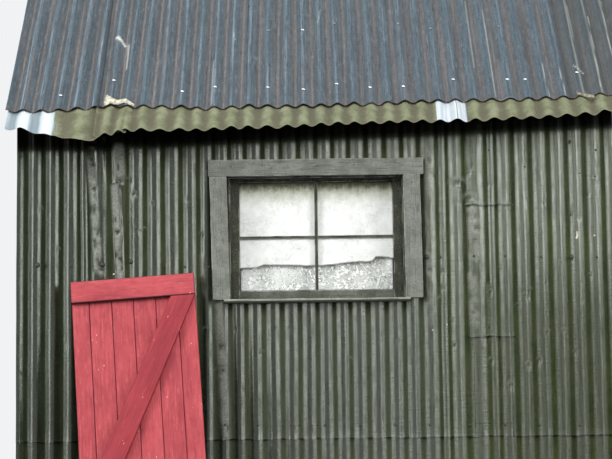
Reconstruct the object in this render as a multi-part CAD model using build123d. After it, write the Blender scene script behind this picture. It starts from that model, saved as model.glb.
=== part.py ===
"""Small gabled cottage clad in corrugated iron, with an old plank door leaf leaning on its front.

Millimetres, +Z up.  The front faces -Y.  The origin is the middle of the front wall's underside.
The walls carry rafters and a ridge board, the rafters carry purlins, and the iron is nailed to
the walls and the purlins.  Every iron sheet is one wave profile drawn once and run to length.
"""
import math
import os

from build123d import *

os.makedirs("parts", exist_ok=True)

# Fits
clear = 0.3  # between pieces that lie on one another
joint = 1.0  # between boards that butt

# Corrugated iron
pitch = 76.2  # three inches, crest to crest
flute = 18.0  # valley to crest
iron = 1.0
wave_steps = 6  # straight facets in one pitch
sheet_depth = flute + iron
lap = clear + iron  # how far an overlapping sheet stands out from the one below

# Plan and walls
front_pitches = 34
side_pitches = 32
wall = 75.0  # timber frame and lining
front_length = front_pitches * pitch
side_length = side_pitches * pitch
half_depth = side_length / 2
half_width = front_length / 2 - sheet_depth - clear
seam = 650.0  # foot of the upper course of iron
course_lap = 80.0

# Roof, 45 degrees
roof_pitches = 35
slope = math.radians(45)
rafter_deep = 75.0
rafter_wide = 50.0
purlin = 50.0
purlin_ends = 12.0  # how far the purlins stop inside the verge
eaves_reach = 150.0  # beyond the wall's crests
strip_shows = 118.0  # old strip seen below the main sheets
strip_lap = 250.0  # reaches up over the first purlin, where it is nailed
purlin_first = 318.0  # up the slope from the drip
purlin_step = 430.0
purlin_rows = 4
ridge_gap = 12.0
ridge_board_wide = 25.0
ridge_board_deep = 150.0
cap_wing = 150.0
cap_roll = 22.0

# Window
opening_pitches = 10
opening_half = opening_pitches * pitch / 2
sill_top = 1250.0
opening_head = 1785.0
over_window = 190.0  # wall above the opening, up to the roof's bevel
board_wide = 74.0
board_thick = 20.0
board_inside = 0.5  # boards stand in over the edge of the opening
head_board_half = 466.0
head_board_high = 72.0
sill_half = 401.0
sill_thick = 15.0
sill_nose = 18.0  # in front of the boards
lining = 8.0
sash_stile = 37.0
sash_bottom = 40.0
sash_top = 12.0
sash_thick = 35.0
sash_back = 45.0  # sash front behind the crests
glass_thick = 3.0
paper_thick = 1.0
paper_foot = 1391.0
lace_thick = 4.0

# Doorway in the right gable
door_pitches = 10
door_half = door_pitches * pitch / 2
door_head = 1880.0
door_post = 45.0
door_thick = 42.0
door_gap = 3.0
threshold_high = 45.0
door_set_back = 12.0

# Old leaf leaning on the front
leaf_planks = [73.0, 95.0, 92.0, 94.0, 93.0, 77.0]
leaf_high = 1350.0
leaf_plank_thick = 20.0
leaf_ledge_thick = 22.0
leaf_ledge_high = 94.0
leaf_brace_wide = 104.0  # measured along the ledges
leaf_foot = 290.0  # planks below the lower ledge
leaf_lean = math.radians(10.7)
leaf_turn = math.radians(3.9)
leaf_corner_x = -965.5  # the corner that it stands on

# Derived lines
wall_top = opening_head + over_window  # outer edge of the front wall's bevelled top
out_lower = half_depth + clear  # valley face of the lower course on the front
out_upper = out_lower + lap
crest = out_upper + sheet_depth  # front of the crests
board_front = crest + clear + board_thick
drip_y = crest + eaves_reach
rise_over_wall = (rafter_deep + purlin) / math.cos(slope)
drip_z = wall_top + rise_over_wall - (drip_y - half_depth) * math.tan(slope)
slope_length = drip_y / math.cos(slope)
to_origin = Location((0, half_depth - wall / 2, 0))


def save(name, *solids):
    """Write one node, moved so that the front wall's underside carries the origin."""
    placed = [to_origin * s for s in solids]
    shape = placed[0] if len(placed) == 1 else Compound(children=placed)
    export_step(shape, f"parts/{name}.step")
    print(name, len(solids))


def block(x0, x1, y0, y1, z0, z1):
    """A squared timber or board between six named faces."""
    corner = Location((x0, y0, z0))
    return corner * Box(x1 - x0, y1 - y0, z1 - z0, align=(Align.MIN, Align.MIN, Align.MIN))


def wave(first, pitches):
    """Cross-section of a sheet: crests on whole pitches, valley face on the local X axis."""
    points = []
    for i in range(pitches * wave_steps + 1):
        turn = 2 * math.pi * i / wave_steps
        points.append((first + i * pitch / wave_steps, flute * (1 + math.cos(turn)) / 2))
    over = [(x, h + iron) for x, h in reversed(points)]
    return make_face(Polyline(*points, *over, close=True))


def sheet(foot, outward, run, first, pitches, length, off=0.0):
    """Run the wave from a foot line; `off` lifts it away from what carries it."""
    out = Vector(*outward)
    up = Vector(*run)
    place = Plane(origin=Vector(*foot) + out * off, x_dir=out.cross(up), z_dir=up)
    return extrude(place * wave(first * pitch, pitches), length, dir=up)


def roof_plane(rear, along, over):
    """Point on a slope: `along` from the drip, `over` from the underside of the roof iron."""
    y = drip_y - along * math.cos(slope) + over * math.sin(slope)
    z = drip_z + along * math.sin(slope) + over * math.cos(slope)
    return (0, y if rear else -y, z)


def slope_bar(rear, x0, x1, along0, along1, over0, over1):
    """A straight timber with a rectangular section on a slope, running along X."""
    corners = [(along0, over0), (along1, over0), (along1, over1), (along0, over1)]
    points = [roof_plane(rear, a, o)[1:] for a, o in corners]
    return run_x(points, x0, x1)


def run_x(points, x0, x1):
    """Run a Y-Z outline from x0 to x1."""
    face = Plane.YZ.offset(x0) * make_face(Polyline(*points, close=True))
    return extrude(face, x1 - x0, dir=(1, 0, 0))


def on_rafters(y):
    """Height of the underside of the rafters at a distance y from the ridge line."""
    return wall_top + (half_depth - abs(y)) * math.tan(slope)


def gable_piece(y0, y1, z0, x0, x1):
    """Part of a gable wall from y0 to y1, up to the rafters."""
    top = [(y1, on_rafters(y1))]
    if y0 < 0 < y1:
        top.append((0, on_rafters(0)))
    top.append((y0, on_rafters(y0)))
    return run_x([(y0, z0), (y1, z0), *top], x0, x1)


# Front and rear walls, with the window cut through the front one
def long_wall(x0, x1, z0, z1, rear=False):
    """A length of the front or rear wall; the full-height ones have the roof's bevel on top."""
    outer, inner = half_depth, half_depth - wall
    if z1 is None:
        line = [(outer, z0), (inner, z0), (inner, on_rafters(inner)), (outer, wall_top)]
    else:
        line = [(outer, z0), (inner, z0), (inner, z1), (outer, z1)]
    side = 1 if rear else -1
    return run_x([(side * y, z) for y, z in line], x0, x1)


sill_under = sill_top - sill_thick
save("front_wall_left", long_wall(-half_width, -opening_half, 0, None))
save("front_wall_right", long_wall(opening_half, half_width, 0, None))
save("front_wall_under_window", long_wall(-opening_half, opening_half, 0, sill_under))
save("front_wall_over_window", long_wall(-opening_half, opening_half, opening_head, None))
save("rear_wall", long_wall(-half_width, half_width, 0, None, rear=True))

# Gable walls between them, with the doorway in the right one
inner_y = half_depth - wall
inner_x = half_width - wall
save("left_wall", gable_piece(-inner_y, inner_y, 0, -half_width, -inner_x))
save("right_wall_front", gable_piece(-inner_y, -door_half, 0, inner_x, half_width))
save("right_wall_rear", gable_piece(door_half, inner_y, 0, inner_x, half_width))
save("right_wall_over_door", gable_piece(-door_half, door_half, door_head, inner_x, half_width))

# Rafters on the walls, ridge board between their plumb-cut heads
rafter_centres = [i * (half_width - rafter_wide / 2) / 2 for i in range(-2, 3)]
rafter_rise = rafter_deep / math.cos(slope)
ridge_face = ridge_board_wide / 2


def rafter(x, rear):
    """Plumb cut at the wall's face and at the ridge board."""
    side = 1 if rear else -1
    low, high = half_depth, ridge_face + clear
    line = [(low, on_rafters(low)), (high, on_rafters(high))]
    line += [(high, on_rafters(high) + rafter_rise), (low, on_rafters(low) + rafter_rise)]
    return run_x([(side * y, z) for y, z in line], x - rafter_wide / 2, x + rafter_wide / 2)


save("rafters_front", *[rafter(x, False) for x in rafter_centres])
save("rafters_rear", *[rafter(x, True) for x in rafter_centres])
ridge_top = on_rafters(ridge_face) + rafter_rise
ridge_under = ridge_top - ridge_board_deep
save("ridge_board", block(-inner_x, inner_x, -ridge_face, ridge_face, ridge_under, ridge_top))

# Purlins on the rafters
verge = roof_pitches * pitch / 2
purlin_half = verge - purlin_ends
purlin_lines = [purlin_first + i * purlin_step for i in range(purlin_rows)]
purlin_lines.append(slope_length - 1.5 * purlin - ridge_gap)


def purlin_bar(rear, along):
    """Lies just under the roof iron, flat on the rafters."""
    return slope_bar(rear, -purlin_half, purlin_half, along - purlin / 2, along + purlin / 2, -purlin, 0)


save("purlins_front", *[purlin_bar(False, a) for a in purlin_lines])
save("purlins_rear", *[purlin_bar(True, a) for a in purlin_lines])

# Wall iron: crests run plumb, the upper course laps over the lower one
up = (0, 0, 1)
front = (0, -1, 0)
rear = (0, 1, 0)
left = (-1, 0, 0)
right = (1, 0, 0)
half_front = front_pitches // 2
half_side = side_pitches // 2
half_open = opening_pitches // 2
half_door = door_pitches // 2
iron_top = drip_z + eaves_reach * math.tan(slope) - joint
upper = iron_top - seam


def front_iron(first, pitches, z0, z1, off):
    """Front sheets are counted in pitches from the right, as seen from outside."""
    return sheet((0, -half_depth, z0), front, up, first, pitches, z1 - z0, off)


def trim_end(solid, x):
    """Take a clearance off a sheet where it butts against its neighbour at x."""
    tall = iron_top + pitch
    return solid - block(x - clear / 2, x + clear / 2, -drip_y, drip_y, -pitch, tall)


beside = half_front - half_open
left_sheets = front_iron(half_open, beside, seam, iron_top, clear + lap)
right_sheets = front_iron(-half_front, beside, seam, iron_top, clear + lap)
save("front_sheets_left", trim_end(left_sheets, -opening_half))
save("front_sheets_right", trim_end(right_sheets, opening_half))
over_sheet = front_iron(-half_open, opening_pitches, opening_head, iron_top, clear + lap)
under_sheet = front_iron(-half_open, opening_pitches, seam, sill_under, clear + lap)
save("front_sheet_over_window", trim_end(trim_end(over_sheet, -opening_half), opening_half))
save("front_sheet_under_window", trim_end(trim_end(under_sheet, -opening_half), opening_half))
save("front_sheets_lower", front_iron(-half_front, front_pitches, 0, seam + course_lap, clear))
rear_foot = (0, half_depth, 0)
save("rear_sheets", sheet(rear_foot, rear, up, -half_front, front_pitches, iron_top, clear))

# Gable iron, cut to the slopes just under the purlins
ridge_z = on_rafters(0) + rafter_rise - clear / math.cos(slope)


def gable_iron(side, first, pitches, z0):
    """Sheets on a gable, cut by both slopes."""
    foot = (half_width * side[0], 0, z0)
    iron_run = sheet(foot, side, up, first, pitches, ridge_z - z0, clear)
    low = ridge_z - 2 * half_depth
    outline = [(0, ridge_z), (-2 * half_depth, low), (-2 * half_depth, -1), (2 * half_depth, -1)]
    outline.append((2 * half_depth, low))
    return iron_run & run_x(outline, -2 * half_width, 2 * half_width)


save("left_sheets", gable_iron(left, -half_side, side_pitches, 0))
beside_door = half_side - half_door
save("right_sheets_front", gable_iron(right, half_door, beside_door, 0))
save("right_sheets_rear", gable_iron(right, -half_side, beside_door, 0))
over_door = gable_iron(right, -half_door, door_pitches, door_head)
for edge_y in (-door_half, door_half):
    over_door -= block(half_width, 2 * half_width, edge_y - clear, edge_y + clear, 0, ridge_z)
save("right_sheet_over_door", over_door)

# Roof iron: main sheets over a strip of older ones along the front eaves
down_half = roof_pitches / 2
front_up = (0, math.cos(slope), math.sin(slope))
rear_up = (0, -math.cos(slope), math.sin(slope))
front_out = (0, -math.sin(slope), math.cos(slope))
rear_out = (0, math.sin(slope), math.cos(slope))
main_top = slope_length - ridge_gap


def roof_iron(is_rear, start, end, off):
    """Sheets on a slope from `start` to `end` above the drip."""
    out, run = (rear_out, rear_up) if is_rear else (front_out, front_up)
    foot = roof_plane(is_rear, start, 0)
    return sheet(foot, out, run, -down_half, roof_pitches, end - start, off)


save("roof_sheets_front", roof_iron(False, strip_shows, main_top, clear + lap))
save("eaves_sheets_front", roof_iron(False, 0, strip_shows + strip_lap, clear))
save("roof_sheets_rear", roof_iron(True, 0, main_top, clear))

# Ridge cap: two wings and a roll, one folded sheet
cap_over = clear + lap + sheet_depth + clear
cap_apex = drip_z + drip_y * math.tan(slope) + cap_over / math.cos(slope)
cap_fold = iron / math.cos(slope)


def cap_wing_solid(is_rear):
    """One wing, from the ridge line down the slope."""
    reach = cap_wing * math.cos(slope)
    side = 1 if is_rear else -1
    edge_under = (side * reach, cap_apex - reach * math.tan(slope))
    edge_over = (side * reach, edge_under[1] + cap_fold)
    return run_x([(0, cap_apex), edge_under, edge_over, (0, cap_apex + cap_fold)], -verge, verge)


roll_centre = (0, cap_apex + cap_fold + cap_roll * 0.6)
roll_face = Plane.YZ.offset(-verge) * Pos(*roll_centre) * Circle(cap_roll)
roll = extrude(roll_face, 2 * verge, dir=(1, 0, 0))
save("ridge_cap", cap_wing_solid(False) + cap_wing_solid(True) + roll)

# Window: boards over the iron's edges, a lining in the wall, the sash set back in it
boards_inner = opening_half - board_inside
boards_outer = boards_inner + board_wide
board_back = crest + clear
head_top = opening_head + head_board_high


def front_block(x0, x1, out0, out1, z0, z1):
    """A piece in the front wall, placed by its distance out from the middle of the plan."""
    return block(x0, x1, -out1, -out0, z0, z1)


def both_sides(x0, x1, out0, out1, z0, z1):
    """The same piece at the left and at the right of the window."""
    one = front_block(x0, x1, out0, out1, z0, z1)
    return [front_block(-x1, -x0, out0, out1, z0, z1), one]


head_board = front_block(-head_board_half, head_board_half, board_back, board_front, opening_head, head_top)
save("window_head_board", head_board)
side_foot = sill_top + clear
side_head = opening_head - clear
side_boards = both_sides(boards_inner, boards_outer, board_back, board_front, side_foot, side_head)
save("window_side_boards", *side_boards)
sash_front = crest - sash_back
sash_rear = sash_front - sash_thick
lining_back = half_depth - wall
sill_front = board_front + sill_nose
sill_wide = front_block(-sill_half, sill_half, crest + clear, sill_front, sill_under, sill_top)
sill_core = front_block(-opening_half, opening_half, lining_back, crest + joint, sill_under, sill_top)
save("window_sill", sill_wide + sill_core)
lining_in = opening_half - lining
lining_head = opening_head - lining
jambs = both_sides(lining_in, opening_half, lining_back, crest, sill_top, lining_head)
save("window_jambs", *jambs)
head_lining = front_block(-opening_half, opening_half, lining_back, crest, lining_head, opening_head)
save("window_head_lining", head_lining)

# Sash
sash_out = lining_in - clear
sash_in = sash_out - sash_stile
sash_foot = sill_top + clear
sash_head = lining_head - clear
glass_low = sash_foot + sash_bottom
glass_high = sash_head - sash_top
stiles = both_sides(sash_in, sash_out, sash_rear, sash_front, sash_foot, sash_head)
save("sash_stiles", *stiles)
rail_low = front_block(-sash_in, sash_in, sash_rear, sash_front, sash_foot, glass_low)
rail_high = front_block(-sash_in, sash_in, sash_rear, sash_front, glass_high, sash_head)
save("sash_rails", rail_low, rail_high)
glass_front = sash_front - sash_thick / 2
glass_rear = glass_front - glass_thick
glass = front_block(-sash_in, sash_in, glass_rear, glass_front, glass_low, glass_high)
save("window_glass", glass)
paper_front = glass_rear - clear
paper_back = paper_front - paper_thick
paper = front_block(-sash_in, sash_in, paper_back, paper_front, paper_foot, glass_high)
save("window_paper", paper)
lace_front = sash_rear - clear
lace_high = paper_foot + course_lap
lace_back = lace_front - lace_thick
lace = front_block(-sash_in, sash_in, lace_back, lace_front, glass_low, lace_high)
save("lace_curtain", lace)

# Door in the right gable, shut
post_out = half_width + clear + sheet_depth + clear
door_clear_y = door_half - door_post
posts = [
    block(inner_x, post_out, -door_half, -door_clear_y, 0, door_head),
    block(inner_x, post_out, door_clear_y, door_half, 0, door_head),
]
save("door_posts", *posts)
head_under = door_head - door_post
save("door_head", block(inner_x, post_out, -door_clear_y, door_clear_y, head_under, door_head))
save("door_threshold", block(inner_x, post_out, -door_clear_y, door_clear_y, 0, threshold_high))
door_face = post_out - door_set_back
leaf_y = door_clear_y - door_gap
leaf_low = threshold_high + clear
door_panel = block(door_face - door_thick, door_face, -leaf_y, leaf_y, leaf_low, head_under - door_gap)
save("door_leaf", door_panel)

# Old leaf leaning on the front: local X across, local Y up the leaf, local Z out of its face
leaf_wide = sum(leaf_planks) + joint * (len(leaf_planks) - 1)
lean_up = Vector(0, math.sin(leaf_lean), math.cos(leaf_lean))
across = Vector(math.cos(leaf_turn), 0, 0) + lean_up * math.sin(leaf_turn)
face_out = Vector(0, -math.cos(leaf_lean), math.sin(leaf_lean))
top_reach = leaf_wide * math.sin(leaf_turn) + leaf_high * math.cos(leaf_turn)
leaf_y0 = -crest - clear - top_reach * math.sin(leaf_lean)
leaf_plane = Plane(origin=(leaf_corner_x, leaf_y0, 0), x_dir=across, z_dir=face_out)


def leaf_piece(points, back, front_face):
    """A board of the leaning leaf from its outline on the face."""
    face = leaf_plane.offset(back) * make_face(Polyline(*points, close=True))
    return extrude(face, front_face - back, dir=face_out)


def leaf_board(x0, x1, z0, z1, back, front_face):
    """A square-ended board of the leaf."""
    return leaf_piece([(x0, z0), (x1, z0), (x1, z1), (x0, z1)], back, front_face)


planks = []
edge = 0.0
for width in leaf_planks:
    planks.append(leaf_board(edge, edge + width, 0, leaf_high, 0, leaf_plank_thick))
    edge += width + joint
save("leaning_door_planks", *planks)
ledge_back = leaf_plank_thick
ledge_front = leaf_plank_thick + leaf_ledge_thick
top_ledge_under = leaf_high - leaf_ledge_high
low_ledge_top = leaf_foot + leaf_ledge_high
top_ledge = leaf_board(0, leaf_wide, top_ledge_under, leaf_high, ledge_back, ledge_front)
low_ledge = leaf_board(0, leaf_wide, leaf_foot, low_ledge_top, ledge_back, ledge_front)
save("leaning_door_ledges", top_ledge, low_ledge)
brace_top = top_ledge_under - clear
brace_low = low_ledge_top + clear
brace_line = [
    (0, brace_low),
    (leaf_brace_wide, brace_low),
    (leaf_wide, brace_top),
    (leaf_wide - leaf_brace_wide, brace_top),
]
save("leaning_door_brace", leaf_piece(brace_line, ledge_back, ledge_front))
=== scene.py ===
"""Looks of the corrugated iron cottage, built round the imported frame.  Metres, +Z up, front to -Y."""

import math

import bmesh
import bpy
import numpy as np
from mathutils import Matrix, Vector


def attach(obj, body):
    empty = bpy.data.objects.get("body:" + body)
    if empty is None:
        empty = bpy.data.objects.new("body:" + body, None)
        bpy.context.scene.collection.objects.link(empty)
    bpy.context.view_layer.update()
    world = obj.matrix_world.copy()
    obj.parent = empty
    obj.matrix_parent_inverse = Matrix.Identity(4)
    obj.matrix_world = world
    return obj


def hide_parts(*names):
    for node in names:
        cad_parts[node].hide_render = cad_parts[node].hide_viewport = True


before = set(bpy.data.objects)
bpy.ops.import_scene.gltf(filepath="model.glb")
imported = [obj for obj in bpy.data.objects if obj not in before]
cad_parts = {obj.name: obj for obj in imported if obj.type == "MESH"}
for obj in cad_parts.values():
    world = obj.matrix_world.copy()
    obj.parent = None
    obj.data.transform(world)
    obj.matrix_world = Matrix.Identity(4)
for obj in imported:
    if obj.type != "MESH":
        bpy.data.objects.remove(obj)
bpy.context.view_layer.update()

# The photograph's camera
PHOTO_W, PHOTO_H = 612, 459
FOCAL_PX = 1920.0
TILT = math.radians(6.72)
ROLL = 0.0130
CAMERA_AT = np.array((-0.0448, -8.3017, 0.5799))

# The part's own lines, in metres
PITCH = 0.0762
FLUTE = 0.018
IRON = 0.001
PLAN_Y = 1.1817  # the middle of the plan
HALF_DEPTH = 1.2192
HALF_WIDTH = 1.2761
HALF_FRONT = 17 * PITCH
HALF_ROOF = 17.5 * PITCH
VERGE = 0.070  # how much further the right verge reaches in the photograph than on the left
UPPER_OFF = 0.0016  # how far the upper course stands off the wall
CREST = HALF_DEPTH + UPPER_OFF + FLUTE + IRON
DRIP_OUT = CREST + 0.150
ROOF_RISE = 0.125 * math.sqrt(2)
WALL_TOP = 1.975
DRIP_Z = WALL_TOP + ROOF_RISE - (DRIP_OUT - HALF_DEPTH)
SLOPE_LENGTH = DRIP_OUT * math.sqrt(2)
IRON_TOP = DRIP_Z + 0.149  # head of the wall iron, up inside the eaves
SEAM = 0.650  # foot of the upper course of iron
SILL_TOP = 1.250
SILL_THICK = 0.015
OPENING_HEAD = 1.785
OPENING_HALF = 0.381
PLAY = 0.0003  # between pieces that lie on one another
BOARD_BACK = CREST + PLAY
BOARD_FRONT = BOARD_BACK + 0.020
WALL = 0.075  # thickness of the wall
COURSE_LAP = 0.06  # how far the lower course reaches up behind the upper one
HALF = math.sqrt(0.5)  # sine and cosine of the roof's 45 degrees

scene = bpy.context.scene
scene.view_settings.view_transform = "Standard"
rng = np.random.default_rng(4941)


def camera_axes():
    """Right, up and forward of the photograph's camera."""
    fwd = np.array((0, math.cos(TILT), math.sin(TILT)))
    right = np.array((1.0, 0, 0))
    up = np.cross(right, fwd)
    c, s = math.cos(ROLL), math.sin(ROLL)
    return right * c - up * s, up * c + right * s, fwd


def add_camera():
    """The photograph's camera, at its place and angle."""
    right, up, fwd = camera_axes()
    data = bpy.data.cameras.new("camera")
    data.sensor_width = 36
    data.lens = FOCAL_PX / PHOTO_W * 36
    data.clip_end = 200
    cam = bpy.data.objects.new("camera", data)
    scene.collection.objects.link(cam)
    m = Matrix([(right[i], up[i], -fwd[i], CAMERA_AT[i]) for i in range(3)] + [(0, 0, 0, 1)])
    cam.matrix_world = m
    scene.camera = cam


add_camera()


def pixel_ray(x, y):
    """The way from the camera through a pixel of the photograph."""
    right, up, fwd = camera_axes()
    return fwd + right * (x - PHOTO_W / 2) / FOCAL_PX - up * (y - PHOTO_H / 2) / FOCAL_PX


def at_wall(x, y, out=CREST):
    """Where a pixel of the photograph meets the front wall's crests: across and height."""
    ray = pixel_ray(x, y)
    k = (PLAN_Y - out - CAMERA_AT[1]) / ray[1]
    p = CAMERA_AT + ray * k
    return p[0], p[2]


def at_roof(x, y, over=0.02):
    """Where a pixel meets the front slope: across, and up from the drip."""
    ray = pixel_ray(x, y)
    n = np.array((0, -HALF, HALF))
    base = np.array((0, PLAN_Y - DRIP_OUT, DRIP_Z)) + n * over
    k = (base - CAMERA_AT) @ n / (ray @ n)
    p = CAMERA_AT + ray * k
    return p[0], (p - base) @ np.array((0, HALF, HALF))


# Smooth random fields

_tables = {}


def field(x, y, seed):
    """Value noise from -1 to 1, about one wave to a unit."""
    if seed not in _tables:
        _tables[seed] = np.random.default_rng(seed).uniform(-1, 1, (64, 64))
    t = _tables[seed]
    x, y = np.broadcast_arrays(np.asarray(x, float), np.asarray(y, float))
    xi, yi = np.floor(x).astype(int), np.floor(y).astype(int)
    fx, fy = x - xi, y - yi
    fx, fy = fx * fx * (3 - 2 * fx), fy * fy * (3 - 2 * fy)
    a, b = t[xi % 64, yi % 64], t[(xi + 1) % 64, yi % 64]
    c, d = t[xi % 64, (yi + 1) % 64], t[(xi + 1) % 64, (yi + 1) % 64]
    return (a * (1 - fx) + b * fx) * (1 - fy) + (c * (1 - fx) + d * fx) * fy


def rough_field(x, y, seed):
    """Two octaves of the field."""
    return (field(x, y, seed) + 0.5 * field(x * 2.1 + 7, y * 2.1 + 3, seed + 1)) / 1.5


# Pieces


def piece(name, verts, faces, material, nodes=(), smooth=True, attributes=None):
    """A mesh object riding on the building."""
    mesh = bpy.data.meshes.new(name)
    mesh.from_pydata(np.asarray(verts, float).tolist(), [], faces)
    for key, values in (attributes or {}).items():
        layer = mesh.attributes.new(key, "FLOAT_VECTOR", "POINT")
        layer.data.foreach_set("vector", np.asarray(values, np.float32).reshape(-1))
    mesh.polygons.foreach_set("use_smooth", [smooth] * len(mesh.polygons))
    mesh.materials.append(material)
    mesh.update()
    obj = bpy.data.objects.new(name, mesh)
    scene.collection.objects.link(obj)
    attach(obj, "root")
    if nodes:
        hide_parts(*nodes)
    return obj


class Side:
    """A flat side that iron is nailed to: an origin, the way across, the way up and the way out."""

    def __init__(self, origin, across, run, out):
        self.origin, self.across = np.array(origin, float), np.array(across, float)
        self.run, self.out = np.array(run, float), np.array(out, float)

    def place(self, u, v, h):
        """Points at u across, v along and h out."""
        return self.origin + u[..., None] * self.across + v[..., None] * self.run + h[..., None] * self.out


FRONT = Side((0, PLAN_Y - HALF_DEPTH, 0), (1, 0, 0), (0, 0, 1), (0, -1, 0))
REAR = Side((0, PLAN_Y + HALF_DEPTH, 0), (-1, 0, 0), (0, 0, 1), (0, 1, 0))
LEFT = Side((-HALF_WIDTH, PLAN_Y, 0), (0, -1, 0), (0, 0, 1), (-1, 0, 0))
RIGHT = Side((HALF_WIDTH, PLAN_Y, 0), (0, 1, 0), (0, 0, 1), (1, 0, 0))
ROOF_FRONT = Side((0, PLAN_Y - DRIP_OUT, DRIP_Z), (1, 0, 0), (0, HALF, HALF), (0, -HALF, HALF))
ROOF_REAR = Side((0, PLAN_Y + DRIP_OUT, DRIP_Z), (-1, 0, 0), (0, -HALF, HALF), (0, HALF, HALF))


def even_crests(u):
    """Ridges counted at an even pitch."""
    return u / PITCH


# Where the photograph's roof ridges stand off an even count: across in pitches, and the shift in metres
ROOF_DRIFT = (
    (-17.5, 0), (-14.4, 0.0), (-12.5, 0.002), (-9.5, -0.019), (-7.5, -0.005), (-5.5, -0.015),
    (-3.3, -0.018), (-1.5, -0.007), (3, -0.022), (6, -0.032), (8, -0.039), (10, -0.036), (12, -0.028),
    (15, -0.027), (17.5, -0.012),
)


def drifting(knots, phase=0.0):
    """Crest count at u, for ridges that wander off an even pitch."""
    k = np.array([a for a, _ in knots], float)
    at = k * PITCH + np.array([b for _, b in knots])

    def count(u):
        out = np.interp(u, at, k)
        out = np.where(u < at[0], k[0] + (u - at[0]) / PITCH, out)
        return np.where(u > at[-1], k[-1] + (u - at[-1]) / PITCH, out) + phase

    return count


def wave_at(count):
    """The wave's share of its full height, 1 on each ridge."""
    return 0.5 + 0.5 * np.cos(2 * math.pi * count)


def wave_height(wave, density, flute=FLUTE):
    """Height of the wave, lower where the ridges stand closer than the pitch."""
    return wave * flute / np.maximum(density, 1.0) ** 0.8


def near_spot(u, v, uc, vc, r, s):
    """1 at a spot, falling off over half sizes r across and s along."""
    return np.exp(-(((u - uc) / r) ** 2) - ((v - vc) / s) ** 2)


def near_line(u, line, half):
    """1 along a line, falling off steeply beyond its half width."""
    return np.exp(-(((u - line) / half) ** 4))


def grid_faces(rows, columns, start=0):
    """The quads of a grid of points, counted column by column within each row."""
    i = start + np.arange(rows - 1)[:, None] * columns + np.arange(columns - 1)[None, :]
    return np.stack([i, i + columns, i + columns + 1, i + 1], -1).reshape(-1, 4)


def grid_ring(rows, columns, step=1):
    """Round the border of a grid, with every step-th column along its two long sides."""
    ring = [(a, 0) for a in range(rows)]
    ring += [(rows - 1, b) for b in range(step, columns, step)]
    ring += [(a, columns - 1) for a in range(rows - 2, -1, -1)]
    return ring + [(0, b) for b in range(columns - 1 - step, 0, -step)]


def shell_faces(rows, columns, turned):
    """Faces of a sheet's front, its back with every second column, and the rim between them."""
    n, half = rows * columns, (columns + 1) // 2
    front, back = grid_faces(rows, columns), grid_faces(rows, half, n)[:, ::-1]
    if turned:
        front, back = front[:, ::-1], back[:, ::-1]
    ring = grid_ring(rows, columns, 2)
    rim = []
    for (a, b), (c, d) in zip(ring, ring[1:] + ring[:1]):
        face = [a * columns + b, n + a * half + b // 2, n + c * half + d // 2, c * columns + d]
        if a == c:
            face.append(a * columns + (b + d) // 2)
        rim.append(face[::-1] if turned else face)
    return front.tolist() + back.tolist() + rim


def thin_faces(rows, columns):
    """Faces of a grid of points, of the same grid behind it, and of the rim between them."""
    n = rows * columns
    front, back = grid_faces(rows, columns), grid_faces(rows, columns, n)[:, ::-1]
    ring = [a * columns + b for a, b in grid_ring(rows, columns)]
    rim = [[a, a + n, b + n, b] for a, b in zip(ring, ring[1:] + ring[:1])]
    return front.tolist() + back.tolist() + rim


def sheet(name, side, u0, u1, v0, v1, off, material, slot, nodes=(), crests=even_crests, low=None,
          high=None, relief=None, per_pitch=10, step=0.02, flute=FLUTE, warp=None, marks=None,
          skew=0.0, shadow_line=None, gape=0.0, flank=False):
    """Corrugated iron from u0 to u1 across and v0 to v1 along, as a closed shell.

    low and high shift the two ends, relief dents the wave, warp moves finished points, and gape
    is how far the foot stands off.  The material reads the distance from an end, the marks, and how
    far a point is below the shadow_line, where its painted shadow begins, or, with flank, which way its
    side of the ridge faces.
    """
    nu = max(3, round((u1 - u0) / PITCH * per_pitch) + 1)
    nv = 2 * max(1, round((v1 - v0) / step / 2)) + 1
    u = np.linspace(u0, u1, nu)[:, None] * np.ones((1, nv))
    t = np.linspace(0, 1, nv)[None, :] * np.ones((nu, 1))
    bottom = v0 + (low(u) if low else 0)
    top = v1 + (high(u) if high else 0)
    v = bottom + (top - bottom) * t
    count = crests(u)
    wave = wave_at(count)
    density = np.gradient(count[:, 0], u[:, 0])[:, None] * PITCH
    h = wave_height(wave, density, flute)
    across = (u - u0) / (u1 - u0)
    u = u - skew * across * (1 - t)
    du = np.zeros_like(u)
    if relief:
        du, h = relief(u, v, h, wave)
    h = h + gape * np.exp(-(v - bottom) / 0.018)
    edge = np.minimum(v - bottom, top - v)
    mark = marks(u, v) if marks else np.zeros_like(u)
    p = side.place(u + du, v, h + off + IRON)
    lowest = np.minimum(h, np.minimum(np.roll(h, 1, 1), np.roll(h, -1, 1)))
    lowest[:, 0], lowest[:, -1] = h[:, 0], h[:, -1]
    q = side.place(u + du, v, lowest + off)
    if warp:
        shift = warp(u, v, t)
        p, q = p + shift, q + shift
    verts = np.concatenate([p.reshape(-1, 3), q[:, ::2].reshape(-1, 3)])
    faces = shell_faces(nu, nv, np.cross(side.across, side.run) @ side.out < 0)
    path = np.stack([u, v, wave], -1)
    below = shadow_line(u) - v if shadow_line else np.ones_like(u)
    if flank:
        below = np.sin(2 * math.pi * count)
    info = np.stack([edge, mark, below], -1)
    path, info = [np.concatenate([a.reshape(-1, 3), a[:, ::2].reshape(-1, 3)]) for a in (path, info)]
    obj = piece(name, verts, faces, material, nodes, attributes={"path": path, "info": info})
    smooth_by_angle(obj, 1.2)
    return obj


BOARD_STEP = 0.02  # between the points of a long edge


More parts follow.
